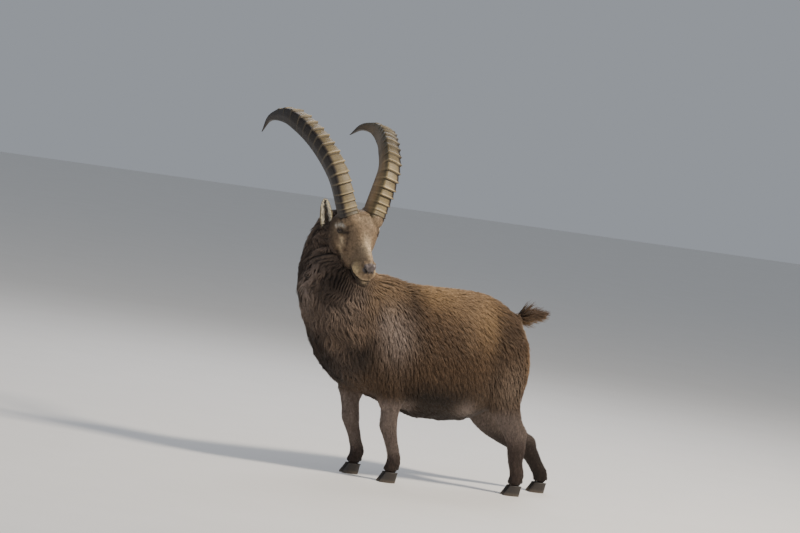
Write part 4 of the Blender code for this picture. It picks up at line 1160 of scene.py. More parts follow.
@dataclass
class Coat:
    """The coat: many solid tufts in a few pieces, each tuft thin, tapered and laid along the body."""

    skin: Skin
    seed: int = 11
    tree: BVHTree = field(init=False)
    chance: np.random.Generator = field(init=False)

    def __post_init__(self) -> None:
        """Reads the skin's faces and starts the seeded chance."""
        mesh = self.skin.mesh
        self.chance = np.random.default_rng(self.seed)
        self.points = places(mesh)
        mesh.calc_loop_triangles()
        flat = np.empty(len(mesh.loop_triangles) * 3, np.int32)
        mesh.loop_triangles.foreach_get("vertices", flat)
        self.triangles = flat.reshape(-1, 3)
        source = np.empty(len(mesh.loop_triangles), np.int32)
        mesh.loop_triangles.foreach_get("polygon_index", source)
        self.tree = BVHTree.FromPolygons(self.points.tolist(), self.triangles.tolist())
        corner = self.points[self.triangles]
        cross = np.cross(corner[:, 1] - corner[:, 0], corner[:, 2] - corner[:, 0])
        self.area = 0.5 * np.linalg.norm(cross, axis=1)
        self.facing = unit(cross)
        self.middle = corner.mean(1)
        self.of_body = source < self.skin.split[0]
        self.of_head = (source >= self.skin.split[0]) & (source < self.skin.split[1])
        self.part = Regions(self.middle)
        self.vertex_out = normals(mesh)

    def scatter(self, weight: np.ndarray, count: int) -> tuple[np.ndarray, np.ndarray]:
        """Random roots on the skin.

        Args:
            weight: how thickly each triangle is planted.
            count: how many roots.

        Returns:
            Root points and the skin's smooth normals there.
        """
        share = np.cumsum(self.area * weight)
        pick = np.searchsorted(share, (np.arange(count) + self.chance.random(count)) / count * share[-1])
        pick = np.minimum(pick, len(share) - 1)
        u, v = self.chance.random((2, count))
        flip = u + v > 1
        u, v = np.where(flip, 1 - u, u), np.where(flip, 1 - v, v)
        mix = np.stack([1 - u - v, u, v], 1)[:, :, None]
        chosen = self.triangles[pick]
        return (self.points[chosen] * mix).sum(1), unit((self.vertex_out[chosen] * mix).sum(1))

    def nearest(self, spots: np.ndarray) -> tuple[np.ndarray, np.ndarray]:
        """The skin's nearest points and their face normals."""
        found = [self.tree.find_nearest(spot) for spot in spots.tolist()]
        return np.array([hit[0] for hit in found]), np.array([hit[1] for hit in found])

    def clump(self, tufts: TuftSet, spacing: float, flow: np.ndarray, stretch: float) -> tuple[np.ndarray, np.ndarray, int]:
        """Sorts the roots into locks.

        Args:
            tufts: the roots.
            spacing: how far apart the locks stand across the lie.
            flow: the main way the hair runs in this piece.
            stretch: how much longer than wide a lock's patch is.

        Returns:
            Each root's guide number, its distance from it, and the number of guides.
        """
        flow = flow / np.linalg.norm(flow)
        squeezed = tufts.roots - (1 - 1 / stretch) * (tufts.roots @ flow)[:, None] * flow
        order = self.chance.permutation(len(squeezed))
        cells = np.floor(squeezed[order] / spacing).astype(np.int64)
        _, first = np.unique(cells, axis=0, return_index=True)
        guides = order[first]
        tree = KDTree(len(guides))
        for number, guide in enumerate(guides):
            tree.insert(squeezed[guide], number)
        tree.balance()
        found = [tree.find(spot) for spot in squeezed.tolist()]
        return guides[[hit[1] for hit in found]], np.array([hit[2] for hit in found]), len(guides)

    def grow(
        self,
        name: str,
        tufts: TuftSet,
        spacing: float,
        pull: float,
        flow: tuple[float, float, float],
        stretch: float,
        wave: float,
        rings: int,
        finish: bpy.types.Material,
        shine: float = 0.15,
        smooth: float = 0.45,
        ridged: bool = False,
    ) -> bpy.types.Object:
        """Grows one piece of coat.

        Args:
            name: the piece's name.
            tufts: its roots and measures.
            spacing: distance between locks across the lie.
            pull: how strongly tufts lean into their lock, 0 to 1.
            flow: the main way the hair runs.
            stretch: how much longer than wide a lock's patch is.
            wave: how far the lie swings from side to side, in radians.
            rings: rings of three points below a tuft's tip.
            finish: the material.
            shine: how much paler a lock's crest is than its edges, as painted light on crests and painted shade in the
                gaps.
            smooth: how far each tuft takes its shading from the skin below it, as flat fur does.
            ridged: whether it parts into long winding ridges instead of locks.

        Returns:
            The piece.
        """
        count = len(tufts.roots)
        guide, gap, _ = self.clump(tufts, spacing, np.array(flow), stretch)
        out, root = tufts.out, tufts.roots
        lie = tufts.heading - out * (tufts.heading * out).sum(1, keepdims=True)
        lie = unit(lie)
        side = np.cross(lie, out)
        phase = self.chance.random(count)[guide] * 6.283
        along = root @ (np.array(flow) / np.linalg.norm(flow))
        swing = wave * np.sin(along / 0.060 * 6.283 + phase) + self.chance.normal(0, 0.07, count)
        lie = lie * np.cos(swing)[:, None] + side * np.sin(swing)[:, None]
        crest = np.clip(1 - (gap / (0.62 * spacing)) ** 2, 0, 1)
        if ridged:
            across, steep = self.ridge_slope(root, out)
            lie = unit(lie - across * (lie * across).sum(1, keepdims=True) * 0.95)
            phase = self.ridge_place(root) / spacing
            offset = np.clip((np.round(phase) - phase)[:, None] * spacing / steep, -0.012, 0.012) * across
            strength = 0.55 + 0.45 * np.sin(root @ np.array((31.0, 27.0, 22.0)) + 2.0 * np.sin(root[:, 2] * 40.0))
            crest = 0.5 + (0.5 * np.cos(2 * math.pi * phase)) * np.clip(strength, 0.35, 1)
        deep = 0.50 + 0.35 * min(1.0, shine)
        height = tufts.height * (1.12 - deep * (1 - crest)) * (1 + self.chance.normal(0, 0.10, count))
        length = tufts.length * (1 + self.chance.normal(0, 0.12, count))
        near_mid, out_mid = self.nearest(root + lie * (length * 0.5)[:, None])
        near_tip, out_tip = self.nearest(root + lie * length[:, None])
        middle = near_mid + out_mid * (height * 0.78)[:, None]
        tip = near_tip + out_tip * height[:, None]
        if ridged:
            tip, middle = tip + offset * pull, middle + offset * (0.5 * pull)
        else:
            goal = tip[guide] + (root - root[guide]) * 0.25
            tip = tip + (goal - tip) * (pull * (gap < 2.2 * spacing))[:, None]
            goal = middle[guide] + (root - root[guide]) * 0.6
            middle = middle + (goal - middle) * (0.5 * pull * (gap < 2.2 * spacing))[:, None]
        start = root - out * 0.0012
        shares = {2: ((0.0, 0.75), (0.55, 0.85)), 3: ((0.0, 0.6), (0.38, 1.0), (0.75, 0.62))}[rings]
        points = np.empty((count, 3 * rings + 1, 3))
        for number, (t, share) in enumerate(shares):
            weights = ((1 - t) * (1 - 2 * t), 4 * t * (1 - t), t * (2 * t - 1))
            spot = start * weights[0] + middle * weights[1] + tip * weights[2]
            ahead = unit(start * (4 * t - 3) + middle * (4 - 8 * t) + tip * (4 * t - 1))
            up = unit(out * (1 - t) + out_tip * t)
            up = unit(up - ahead * (up * ahead).sum(1, keepdims=True))
            across = np.cross(ahead, up)
            half = (0.5 * tufts.width * share)[:, None]
            points[:, 3 * number] = spot + across * half
            points[:, 3 * number + 1] = spot + up * half * 0.55
            points[:, 3 * number + 2] = spot - across * half
        points[:, -1] = tip
        corners, sizes = self.pattern(rings)
        step = 3 * rings + 1
        loops = (corners[None, :] + (np.arange(count) * step)[:, None]).ravel()
        mesh = array_mesh(name, points.reshape(-1, 3), loops, np.tile(sizes, count))
        # Painted light on lock crests and painted shade in the gaps between them.
        shade = 1 + self.chance.normal(0, 0.09, count) + shine * (crest - 0.5)
        shade = shade * (1 + self.chance.normal(0, 0.07, count)[guide])
        tint = tufts.tint * np.clip(shade, 0.35, 1.9)[:, None]
        along_shade = np.concatenate([np.full(3, s) for s in ((0.84, 1.0) if rings == 2 else (0.55, 0.88, 1.08))] + [[1.12 if rings == 2 else 1.2]])
        paint(mesh, "tint", (tint[:, None, :] * along_shade[None, :, None]).reshape(-1, 3))
        self.mark_strands(mesh, count, rings, length, shares)
        layer = mesh.uv_layers.new(name="OFBake")
        local = np.zeros((step, 2))
        local[:, 1] = np.concatenate([np.full(3, t) for t, _ in shares] + [[1.0]]) - 0.5
        local[:-1, 0] = np.tile((-0.5, 0.0, 0.5), rings)
        uv = tufts.uv[:, None, :] * 0.99 + 0.005 + local[None] * 0.003
        layer.data.foreach_set("uv", uv.reshape(-1, 2)[loops].astype(np.float32).ravel())
        own = normals(mesh).reshape(count, step, 3)
        soft = unit(own * (1 - smooth) + (out * 0.5 + out_tip * 0.5)[:, None, :] * smooth)
        mesh.normals_split_custom_set_from_vertices(soft.reshape(-1, 3).tolist())
        piece = add_object(name, mesh)
        mesh.materials.append(finish)
        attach(piece, "root")
        log.info("%s: %d tufts, %d triangles", name, count, count * (6 * (rings - 1) + 4))
        return piece

    def mark_strands(self, mesh: bpy.types.Mesh, count: int, rings: int, length: np.ndarray, shares: tuple) -> None:
        """Stores where each point lies across and along its own tuft, for the streaks of single hairs.

        Args:
            mesh: the piece's mesh.
            count: how many tufts it has.
            rings: rings below a tuft's tip.
            length: each tuft's length.
            shares: each ring's place along the tuft.
        """
        place = np.zeros((count, 3 * rings + 1, 3), np.float32)
        place[:, :-1, 0] = np.tile((-0.5, 0.0, 0.5), rings)
        place[:, :, 1] = np.concatenate([np.full(3, t) for t, _ in shares] + [[1.0]])[None] * length[:, None] * 20
        place[:, :, 2] = (np.arange(count) * 0.731 % 97.0)[:, None]
        layer = mesh.attributes.new("strand", "FLOAT_VECTOR", "POINT")
        layer.data.foreach_set("vector", place.ravel())

    def ridge_place(self, points: np.ndarray) -> np.ndarray:
        """Where points lie across the winding ridges of the ruff, in metres."""
        x, y, z = (points - STAND).T
        middle_x = 0.04 * fade(z, 0.70, 0.90)
        middle_y = -0.33 + 0.10 * fade(z, 0.80, 0.60)
        turn = np.arctan2(x - middle_x, middle_y - y)
        across = 0.17 * turn + 0.10 * (z - 0.75)
        wind = 0.0062 * np.sin(z * 62.0 + 2.4 * np.sin(turn * 2.1) + 1.0)
        wind = wind + 0.0022 * np.sin(z * 131.0 + 5.0 * turn) + 0.0050 * np.sin(z * 23.0 - 5.0 * turn)
        return across + wind

    def ridge_slope(self, points: np.ndarray, out: np.ndarray) -> tuple[np.ndarray, np.ndarray]:
        """The way across the ridges on the skin, and how fast their count grows along it."""
        here, step = self.ridge_place(points), 0.0005
        slope = np.stack([(self.ridge_place(points + np.eye(3)[i] * step) - here) / step for i in range(3)], 1)
        slope = slope - out * (slope * out).sum(1, keepdims=True)
        steep = np.maximum(np.linalg.norm(slope, axis=1, keepdims=True), 0.2)
        return slope / steep, steep

    def pattern(self, rings: int) -> tuple[np.ndarray, np.ndarray]:
        """Face corners and sizes of one tuft with so many rings, facing outward."""
        corners, sizes = [0, 1, 2], [3]
        for ring in range(rings - 1):
            for j in range(3):
                k = (j + 1) % 3
                corners += [3 * ring + 3 + j, 3 * ring + 3 + k, 3 * ring + k, 3 * ring + j]
                sizes.append(4)
        last = 3 * (rings - 1)
        for j in range(3):
            corners += [3 * rings, last + (j + 1) % 3, last + j]
            sizes.append(3)
        return np.array(corners), np.array(sizes)

    def wrap(self, roots: np.ndarray, start: np.ndarray, end: np.ndarray, up: np.ndarray) -> np.ndarray:
        """Unwraps roots round a limb's or the trunk's own axis.

        Args:
            roots: world points.
            start: one end of the axis.
            end: its other end.
            up: where the seam lies, seen from the axis.

        Returns:
            (u, v) from 0 to 1.
        """
        axis = unit(end - start)
        up = unit(up - axis * (up @ axis))
        side = np.cross(axis, up)
        off = roots - start
        v = off @ axis
        u = np.arctan2(off @ side, off @ up) / (2 * math.pi) + 0.5
        for value in (u, v):
            value -= value.min()
            value /= max(value.max(), 1e-6)
        return np.stack([u, v], 1)

    def prepare(self, weight: np.ndarray, count: int, width: float, axis: tuple, coverage: float = 1.0) -> TuftSet:
        """Plants roots and reads their measures from the lie of the coat and the markings."""
        roots, out = self.scatter(weight, count)
        part = Regions(roots)
        lie = LieOfCoat()
        tint = Markings().at(roots)
        start, end, up = (np.array(item, float) for item in axis)
        uv = self.wrap(roots, start + STAND, end + STAND, up)
        depth = lie.depth(part)
        return TuftSet(
            roots,
            out,
            lie.heading(part),
            lie.length(part) * coverage,
            np.full(count, width),
            depth * 1.05,
            tint,
            uv,
        )

    def build(self) -> list[bpy.types.Object]:
        """Grows every piece of the coat."""
        hair = WinterHair().make("winter_hair")
        part, body = self.part, self.of_body.astype(float)
        x, y, z = part.p.T
        hidden = np.where(part.face_side > -0.006, 0.0, 1.0) + (np.linalg.norm(part.p - np.array((0.1, -0.38, 1.05)), axis=1) > 0.27)
        body = body * np.clip(hidden, 0, 1) * (z > 0.052)
        spine = ((0, -0.5, 0.6), (0, 0.6, 0.6), (0, 0, -1))
        throat = ((0, -0.25, 0.62), (-0.07, -0.39, 1.12), (0, 1, 0))
        ruff = (part.neck > 0.5) | (part.chest > 0.5)
        fore = ~ruff & (y < 0.00)
        hind = ~ruff & (y > 0.33)
        barrel = ~ruff & ~fore & ~hind
        pieces = []
        for side in Side:
            here = (x * side.value > 0).astype(float) * body
            plan = (
                (f"coat_ruff_{side.word}", ruff, 10900, 0.0048, throat, 0.020, 0.75, (0.05 * side.value, 0.15, -1.0), 6.0, 0.05),
                (f"coat_shoulder_{side.word}", fore, 9000, 0.0047, spine, 0.015, 0.30, (0.0, 0.25, -1.0), 3.0, 0.10),
                (f"coat_barrel_{side.word}", barrel, 10000, 0.0050, spine, 0.014, 0.25, (0.0, 0.5, -0.86), 3.0, 0.08),
                (f"coat_haunch_{side.word}", hind, 8500, 0.0048, spine, 0.014, 0.25, (0.0, 0.3, -1.0), 3.0, 0.08),
            )
            for name, zone, count, width, axis, spacing, pull, flow, stretch, wave in plan:
                leg_bias = 1 + 1.6 * part.leg
                tufts = self.prepare(here * zone * leg_bias, count, width, axis)
                legs = Regions(tufts.roots).leg
                tufts.width = tufts.width * (1 - 0.55 * legs)
                # The ruff's locks get strong painted light on their crests and painted shade between them.
                pieces.append(self.grow(name, tufts, spacing, pull, flow, stretch, wave, 3, hair, 1.7 if zone is ruff else 0.25, 0.30 if zone is ruff else 0.45, zone is ruff))
        pieces.append(self.grow_face(WinterHair(grain_mm=11.0, darkest=0.50, palest=1.50).make("face_hair")))
        return pieces

    def grow_face(self, hair: bpy.types.Material) -> bpy.types.Object:
        """The short hair of the head, thinned out round the eyes, lips and nose."""
        q = self.part.head_local
        a, l, h = q.T
        side = np.abs(l)
        eye = np.linalg.norm(np.stack([(a - 0.042), (side - 0.0730) * 0.5, (h + 0.035)], 1), axis=1)
        keep = self.of_head * (self.part.face_side > -0.035) * fade(eye, 0.0155, 0.0185)
        keep = keep * (1 - np.clip(1.6 * nose_pad(q), 0, 1))
        keep = keep * (1 + 1.2 * fade(a, 0.02, -0.03))
        start = np.array(HEAD.at) - STAND
        axis = (tuple(start - HEAD.axes()[:, 2] * 0.08), tuple(start - HEAD.axes()[:, 2] * 0.08 + HEAD.axes()[:, 0]), tuple(-HEAD.axes()[:, 2]))
        tufts = self.prepare(keep, 17000, 0.0030, axis)
        part = Regions(tufts.roots)
        tufts.height = np.maximum(0.0011, tufts.length * 0.12) + 0.0006
        tufts.width = 0.0022 + 0.10 * np.clip(tufts.length - 0.008, 0, 0.02)
        return self.grow("coat_head", tufts, 0.008, 0.25, tuple(-HEAD.axes()[:, 0]), 2.0, 0.15, 2, hair, 0.10, 0.80)


@dataclass
class Tassels:
    """Long hair that grows from a line: the tail's fan, the beard and the ear's lining."""

    coat: Coat

    def strands(
        self,
        name: str,
        roots: np.ndarray,
        tips: np.ndarray,
        facing: np.ndarray,
        width: np.ndarray,
        bend: np.ndarray,
        tint: np.ndarray,
        tip_shade: float,
        finish: bpy.types.Material,
    ) -> bpy.types.Object:
        """Tapered locks from given roots to given tips.

        Args:
            name: the piece's name.
            roots: root points.
            tips: tip points.
            facing: the way each lock's broad side looks.
            width: each lock's width.
            bend: how far its middle is pushed, as a vector.
            tint: one colour per lock.
            tip_shade: how much lighter its tip is.
            finish: the material.

        Returns:
            The piece.
        """
        count = len(roots)
        middle = (roots + tips) / 2 + bend
        shares = ((0.0, 0.7), (0.35, 1.0), (0.72, 0.66))
        points = np.empty((count, 10, 3))
        for number, (t, share) in enumerate(shares):
            spot = roots * ((1 - t) * (1 - 2 * t)) + middle * (4 * t * (1 - t)) + tips * (t * (2 * t - 1))
            ahead = unit(roots * (4 * t - 3) + middle * (4 - 8 * t) + tips * (4 * t - 1))
            up = unit(facing - ahead * (facing * ahead).sum(1, keepdims=True))
            across = np.cross(ahead, up)
            half = (0.5 * width * share)[:, None]
            points[:, 3 * number] = spot + across * half
            points[:, 3 * number + 1] = spot + up * half * 0.55
            points[:, 3 * number + 2] = spot - across * half
        points[:, -1] = tips
        corners, sizes = self.coat.pattern(3)
        loops = (corners[None, :] + (np.arange(count) * 10)[:, None]).ravel()
        mesh = array_mesh(name, points.reshape(-1, 3), loops, np.tile(sizes, count))
        self.coat.mark_strands(mesh, count, 3, np.linalg.norm(tips - roots, axis=1), shares)
        shade = self.coat.chance.normal(1.0, 0.14, count)
        along = np.array([0.7] * 3 + [0.9] * 3 + [1.0] * 3 + [tip_shade])
        paint(mesh, "tint", ((tint * shade[:, None])[:, None, :] * along[None, :, None]).reshape(-1, 3))
        low, high = roots.min(0), roots.max(0)
        flat = (roots - low) / np.maximum(high - low, 1e-4)
        order = np.argsort(high - low)[::-1][:2]
        layer = mesh.uv_layers.new(name="OFBake")
        local = np.zeros((10, 2))
        local[:, 1] = np.array([0.0] * 3 + [0.35] * 3 + [0.72] * 3 + [1.0]) - 0.5
        uv = flat[:, order][:, None, :] * 0.99 + 0.005 + local[None] * 0.003
        layer.data.foreach_set("uv", uv.reshape(-1, 2)[loops].astype(np.float32).ravel())
        piece = add_object(name, mesh)
        mesh.materials.append(finish)
        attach(piece, "root")
        log.info("%s: %d locks", name, count)
        return piece

    def tail(self, finish: bpy.types.Material) -> bpy.types.Object:
        """The raised tail's fan of stiff dark hair."""
        count, chance = 560, self.coat.chance
        t = chance.random(count)
        turn = chance.uniform(0, 2 * math.pi, count)
        spine_y = 0.515 + 0.090 * t
        spine_z = 0.792 + 0.024 * t
        around = np.stack([np.sin(turn), 0.25 * np.cos(turn), np.cos(turn)], 1)
        roots = np.stack([0 * t, spine_y, spine_z], 1) + around * (0.016 - 0.010 * t)[:, None]
        lift = np.clip(np.cos(turn), -0.4, 1.0)
        reach = 0.046 + 0.050 * chance.random(count) ** 2.2
        way = unit(np.stack([0.30 * np.sin(turn), 0.55 + 1.1 * t, 0.75 * lift * (1.25 - t) + 0.10], 1))
        tips = roots + way * reach[:, None]
        tips[:, 2] = np.minimum(tips[:, 2], 0.888)
        tips[:, 1] = np.minimum(tips[:, 1], 0.668)
        bend = np.stack([0 * t, 0 * t, 0.004 * chance.normal(0, 1, count)], 1)
        tint = np.tile(tone(Palette.BARREL), (count, 1))
        pale = (np.cos(turn) < -0.3)[:, None] * 0.35
        tint = tint + (tone(Palette.TAN) - tint) * pale
        return self.strands(
            "coat_tail_fan",
            roots + STAND,
            tips + STAND,
            around,
            chance.uniform(0.003, 0.006, count),
            bend,
            tint,
            0.9,
            finish,
        )

    def beard(self, finish: bpy.types.Material) -> bpy.types.Object:
        """The short dark winter beard under the chin."""
        count, chance = 420, self.coat.chance
        a = chance.uniform(0.140, 0.215, count)
        l = chance.normal(0, 0.014, count)
        h = np.interp(a, (0.14, 0.17, 0.215), (-0.146, -0.141, -0.140)) + 0.25 * np.abs(l)
        roots = HEAD.place(np.stack([a, l, h], 1))
        length = np.interp(a, (0.14, 0.17, 0.215), (0.026, 0.036, 0.018)) * chance.uniform(0.75, 1.1, count)
        ahead, left = HEAD.axes()[:, 0], HEAD.axes()[:, 1]
        drop = unit(np.array((-0.10, 0.0, -1.0)) + left * (6.0 * l)[:, None] * 0.6 + chance.normal(0, 0.08, (count, 3)))
        bend = ahead * (0.003 * chance.normal(0, 1, count))[:, None]
        tint = np.tile(tone(Palette.FACE_DARK_AND_SHADE), (count, 1))
        facing = np.tile(ahead, (count, 1)) + left * np.sign(l)[:, None] * 0.6
        return self.strands("coat_beard", roots, roots + drop * length[:, None], facing, chance.uniform(0.0028, 0.005, count), bend, tint, 1.1, finish)

    def ear_hair(self, ear: Ear, finish: bpy.types.Material) -> bpy.types.Object:
        """The pale hair in the cup of an ear and the velvet on its back."""
        count, chance = 1500, self.coat.chance
        inner = chance.random(count) < 0.55
        t = chance.uniform(0.02, 0.95, count)
        edge_side = np.sign(chance.random(count) - 0.5)
        a = np.where(inner, edge_side * (1 - chance.random(count) ** 1.6 * 0.75) * 0.97, chance.uniform(-1, 1, count))
        base_in, base_out = ear.sheet(t, a, True), ear.sheet(t, a, False)
        ahead_in, ahead_out = ear.sheet(t + 0.06, a * 0.98, True), ear.sheet(t + 0.06, a * 0.98, False)
        base = np.where(inner[:, None], base_in, base_out)
        ahead = np.where(inner[:, None], ahead_in, ahead_out)
        off = unit(np.where(inner[:, None], base_in - base_out, base_out - base_in))
        along = unit(ahead - base)
        toward_middle = unit(ear.sheet(t, a * 0.4, True) - base_in)
        length = np.where(inner, 0.018, 0.009) * chance.uniform(0.6, 1.3, count) * np.where(t > 0.8, 0.6, 1.0)
        lean = np.where(inner, chance.uniform(0.0, 0.9, count), 0.0)[:, None]
        way = unit(along + off * np.where(inner, 0.40, 0.10)[:, None] + toward_middle * lean + chance.normal(0, 0.16, (count, 3)))
        tips = base + way * length[:, None]
        pale, dark, rim = tone(Palette.WHITE) * 1.2, tone(Palette.FACE), tone(Palette.EAR_RIM)
        tint = np.where(inner[:, None], pale, dark) * np.ones((count, 1))
        middle_dark = (inner * fade(np.abs(a), 0.66, 0.40))[:, None]
        tint = tint + (tone(Palette.BLACK_BROWN_AND_SHADE) - tint) * middle_dark * 0.95
        edge = fade(np.abs(a), 0.80, 0.97)[:, None]
        tint = tint + (rim - tint) * edge * 0.8
        return self.strands(
            f"coat_ear_{ear.side.word}",
            base,
            tips,
            off,
            np.where(inner, 0.0017, 0.0022),
            off * 0.001,
            tint,
            1.1,
            finish,
        )


@dataclass
class Horn:
    """One great horn: a long back-swept curve with raised knobs across its front face.

    Every knob has a sharp lip. Below it the face drops into a groove, darkened by painted shade, and above it the face
    falls away slowly until it meets the groove under the next lip.
    """

    side: Side
    root: tuple[float, float, float] = (0.019, 0.061, 0.028)
    # Back, out and up from the root
    right_curve: Rows = (
        (0.000, 0.010, 0.000),
        (0.032, 0.068, 0.166),
        (0.148, 0.120, 0.289),
        (0.311, 0.159, 0.364),
        (0.471, 0.162, 0.371),
        (0.606, 0.160, 0.345),
        (0.684, 0.157, 0.280),
    )
    left_curve: Rows = (
        (0.000, 0.000, 0.000),
        (0.020, 0.054, 0.188),
        (0.147, 0.098, 0.291),
        (0.337, 0.160, 0.330),
        (0.478, 0.178, 0.353),
        (0.591, 0.168, 0.347),
        (0.690, 0.160, 0.305),
    )
    width: float = 0.077
    depth: float = 0.101
    turn_out: tuple[float, float] = (2.0, 14.0)  # degrees the front face looks outward: right, left
    thinning: float = 0.32
    taper_from: float = 0.54
    taper_power: float = 1.55
    knob_rise: float = 0.0105
    # Where the lips stand, as shares of the horn's length
    right_lips: tuple[float, ...] = (
        -0.022, -0.004, 0.012, 0.045, 0.083, 0.129, 0.168, 0.211, 0.259, 0.308, 0.355, 0.403, 0.455, 0.510, 0.580, 0.660, 0.745,
    )
    left_lips: tuple[float, ...] = (
        -0.031, -0.008, 0.016, 0.051, 0.091, 0.125, 0.164, 0.198, 0.235, 0.274, 0.320, 0.368, 0.420, 0.478, 0.545, 0.625, 0.720,
    )
    rings: int = 520
    around: int = 48
    face_colour: str = "#736547"
    rim_colour: str = "#a99773"
    # The outer side's dark colour is partly the horn's own, partly painted shade; the inner side's tan is partly
    # painted light.
    outer_side_and_shade_colour: str = "#231a13"
    inner_side_and_light_colour: str = "#7c674a"
    # Painted light and shade: the left horn is drawn brighter, and each horn's upper part darker, for how the light
    # falls.
    painted_light_by_side: tuple[float, float] = (1.0, 1.28)
    painted_upper_shade: tuple[float, float] = (0.10, 0.52)  # how much darker the upper part is: right, left
    # Painted shade in the grooves below the lips.
    groove_shade_colour: str = "#1a120b"
    tip_colour: str = "#2e251c"

    def line(self, shares: np.ndarray) -> tuple[np.ndarray, float]:
        """Points of the centre line at shares of its length, in the upright head frame, and the length."""
        fine = curve_rows(self.right_curve if self.side is Side.RIGHT else self.left_curve, 60)
        along = np.concatenate([[0], np.cumsum(np.linalg.norm(np.diff(fine, axis=0), axis=1))])
        at = np.clip(shares, 0, 1) * along[-1]
        back, out, up = (np.interp(at, along, fine[:, i]) for i in range(3))
        return np.stack([-back, out, up], 1), along[-1]

    def frames(self, shares: np.ndarray) -> tuple[np.ndarray, np.ndarray, np.ndarray, np.ndarray, float]:
        """Middles, front and across directions, thickness at shares of the length, and the length."""
        spots, length = self.line(shares)
        ahead, _ = self.line(np.minimum(1, np.maximum(shares, 0) + 0.02))
        behind, _ = self.line(np.maximum(0, shares - 0.02))
        tangent = unit(ahead - behind)
        spots = spots + tangent * (np.minimum(shares, 0) * length)[:, None]
        front = unit(np.cross(np.array((0.0, 1.0, 0.0)), tangent))
        across = unit(np.cross(tangent, front))
        across = np.where(across[:, 1:2] < 0, -across, across)
        turn = math.radians(self.turn_out[self.side is Side.LEFT])
        front, across = front * math.cos(turn) + across * math.sin(turn), across * math.cos(turn) - front * math.sin(turn)
        grown = np.maximum(shares, 0)
        late = np.maximum(0.0, (shares - self.taper_from) / (1 - self.taper_from))
        thick = (1 - self.thinning * grown**1.4) * (1 - late**self.taper_power * 0.93)
        thick = thick * (1 - 0.55 * np.clip((-0.024 - shares) / 0.030, 0, 1))
        return spots, front, across, thick, length

    def outline(self) -> tuple[np.ndarray, np.ndarray]:
        """The section, as (across, front) from -1 to 1: a flat front with firm edges and a narrower back."""
        angles = np.linspace(0, 2 * math.pi, self.around, endpoint=False)
        f, c = np.sin(angles), np.cos(angles)
        square = np.maximum(np.abs(f), np.abs(c)) ** 0.62
        narrow = np.where(f > 0, 1.0, 1.0 + 0.28 * f)
        return c * narrow / square, f / square

    def put(self, fine: np.ndarray) -> np.ndarray:
        """Points of the horn's frame in the world."""
        base = np.array(HEAD.at) + HEAD.upright() @ np.array((self.root[0], self.side.value * self.root[1], self.root[2]))
        return base + (fine * np.array((1, self.side.value, 1))) @ HEAD.upright().T

    def knobs(self, shares: np.ndarray, chance: np.random.Generator) -> tuple[np.ndarray, np.ndarray, np.ndarray]:
        """How high the face stands, how near a lip is, and how deep its groove, at shares of the length."""
        lips = np.array(self.right_lips if self.side is Side.RIGHT else self.left_lips)
        tall = np.interp(lips, (-0.03, 0.03, 0.10, 0.55, 0.75), (0.30, 0.55, 1.0, 0.95, 0.5)) * chance.uniform(0.88, 1.1, len(lips))
        ends = np.append(lips[1:], lips[-1] + 0.06)
        face, lip, groove = (np.zeros(len(shares)) for _ in range(3))
        for start, end, high in zip(lips, ends, tall):
            u = (shares - start) / (end - start)
            inside = (u >= 0) & (u < 1)
            face = np.where(inside, high * (0.42 * np.exp(-((u / 0.16) ** 2)) + 0.58 * (1 - u) ** 0.9), face)
            before = shares - start
            face = np.maximum(face, high * fade(before, -0.0030, 0.0002) * (before < 0))
            lip = np.maximum(lip, high * np.exp(-(((shares - start - 0.0022) / 0.0034) ** 2)))
            groove = np.maximum(groove, high**0.5 * np.exp(-(((before + 0.0048) / 0.0026) ** 2)))
        return face, lip, groove

    def build(self, finish: bpy.types.Material) -> bpy.types.Object:
        """Makes the horn and dresses it.

        Args:
            finish: the horn sheath's material.

        Returns:
            The horn.
        """
        chance = np.random.default_rng(5 + self.side.value)
        shares = np.concatenate([np.linspace(-0.075, -0.002, 34), np.linspace(0, 1, self.rings)])
        spots, front, across, thick, length = self.frames(shares)
        wide, deep = self.outline()
        angles = np.linspace(0, 2 * math.pi, self.around, endpoint=False)
        f, c = np.sin(angles), np.cos(angles)
        face, lip, groove = self.knobs(shares, chance)
        ripple = np.interp(shares * length, np.arange(0, 1.3, 0.0030), chance.normal(0, 1, 434))
        forward = np.clip(deep, 0, 1)
        wrap = np.clip(forward * 1.25, 0, 1) ** 1.2
        corner = np.exp(-((np.abs(np.abs(c) - 0.72) / 0.14) ** 2)) * (f > 0)
        rise = self.knob_rise * (1 - 0.35 * np.maximum(shares, 0)) * face
        bump = rise[:, None] * (wrap + 0.22 * corner)[None] - 0.0035 * wrap[None]
        bump = bump - 0.0012 * groove[:, None] * (0.2 + wrap[None])
        bump = bump + 0.00025 * ripple[:, None] * (0.5 + 0.5 * wrap[None])
        widen = 1 + 0.10 * (wrap[None] * rise[:, None] / 0.010) * fade(shares, 0.85, 0.7)[:, None]
        fine = spots[:, None, :] + across[:, None, :] * (0.5 * wide[None] * self.width * thick[:, None] * widen)[:, :, None]
        fine = fine + front[:, None, :] * (0.5 * deep[None] * self.depth * thick[:, None] + bump)[:, :, None]
        mesh = loft(f"horn_{self.side.word}_sheath", self.put(fine))
        paint(mesh, "tint", self.colours(shares, lip, groove, wrap, chance))
        lie = np.empty((len(mesh.vertices), 3), np.float32)
        lie[:-2] = np.stack(np.broadcast_arrays(c[None] * 0.04, f[None] * 0.04, (shares * length)[:, None]), -1).reshape(-1, 3)
        lie[-2:] = lie[0], lie[-3]
        layer = mesh.attributes.new("lie", "FLOAT_VECTOR", "POINT")
        layer.data.foreach_set("vector", lie.ravel())
        horn = add_object(f"horn_{self.side.word}_sheath", mesh)
        mesh.materials.append(finish)
        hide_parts(f"horn_{self.side.word}")
        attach(horn, "root")
        return horn

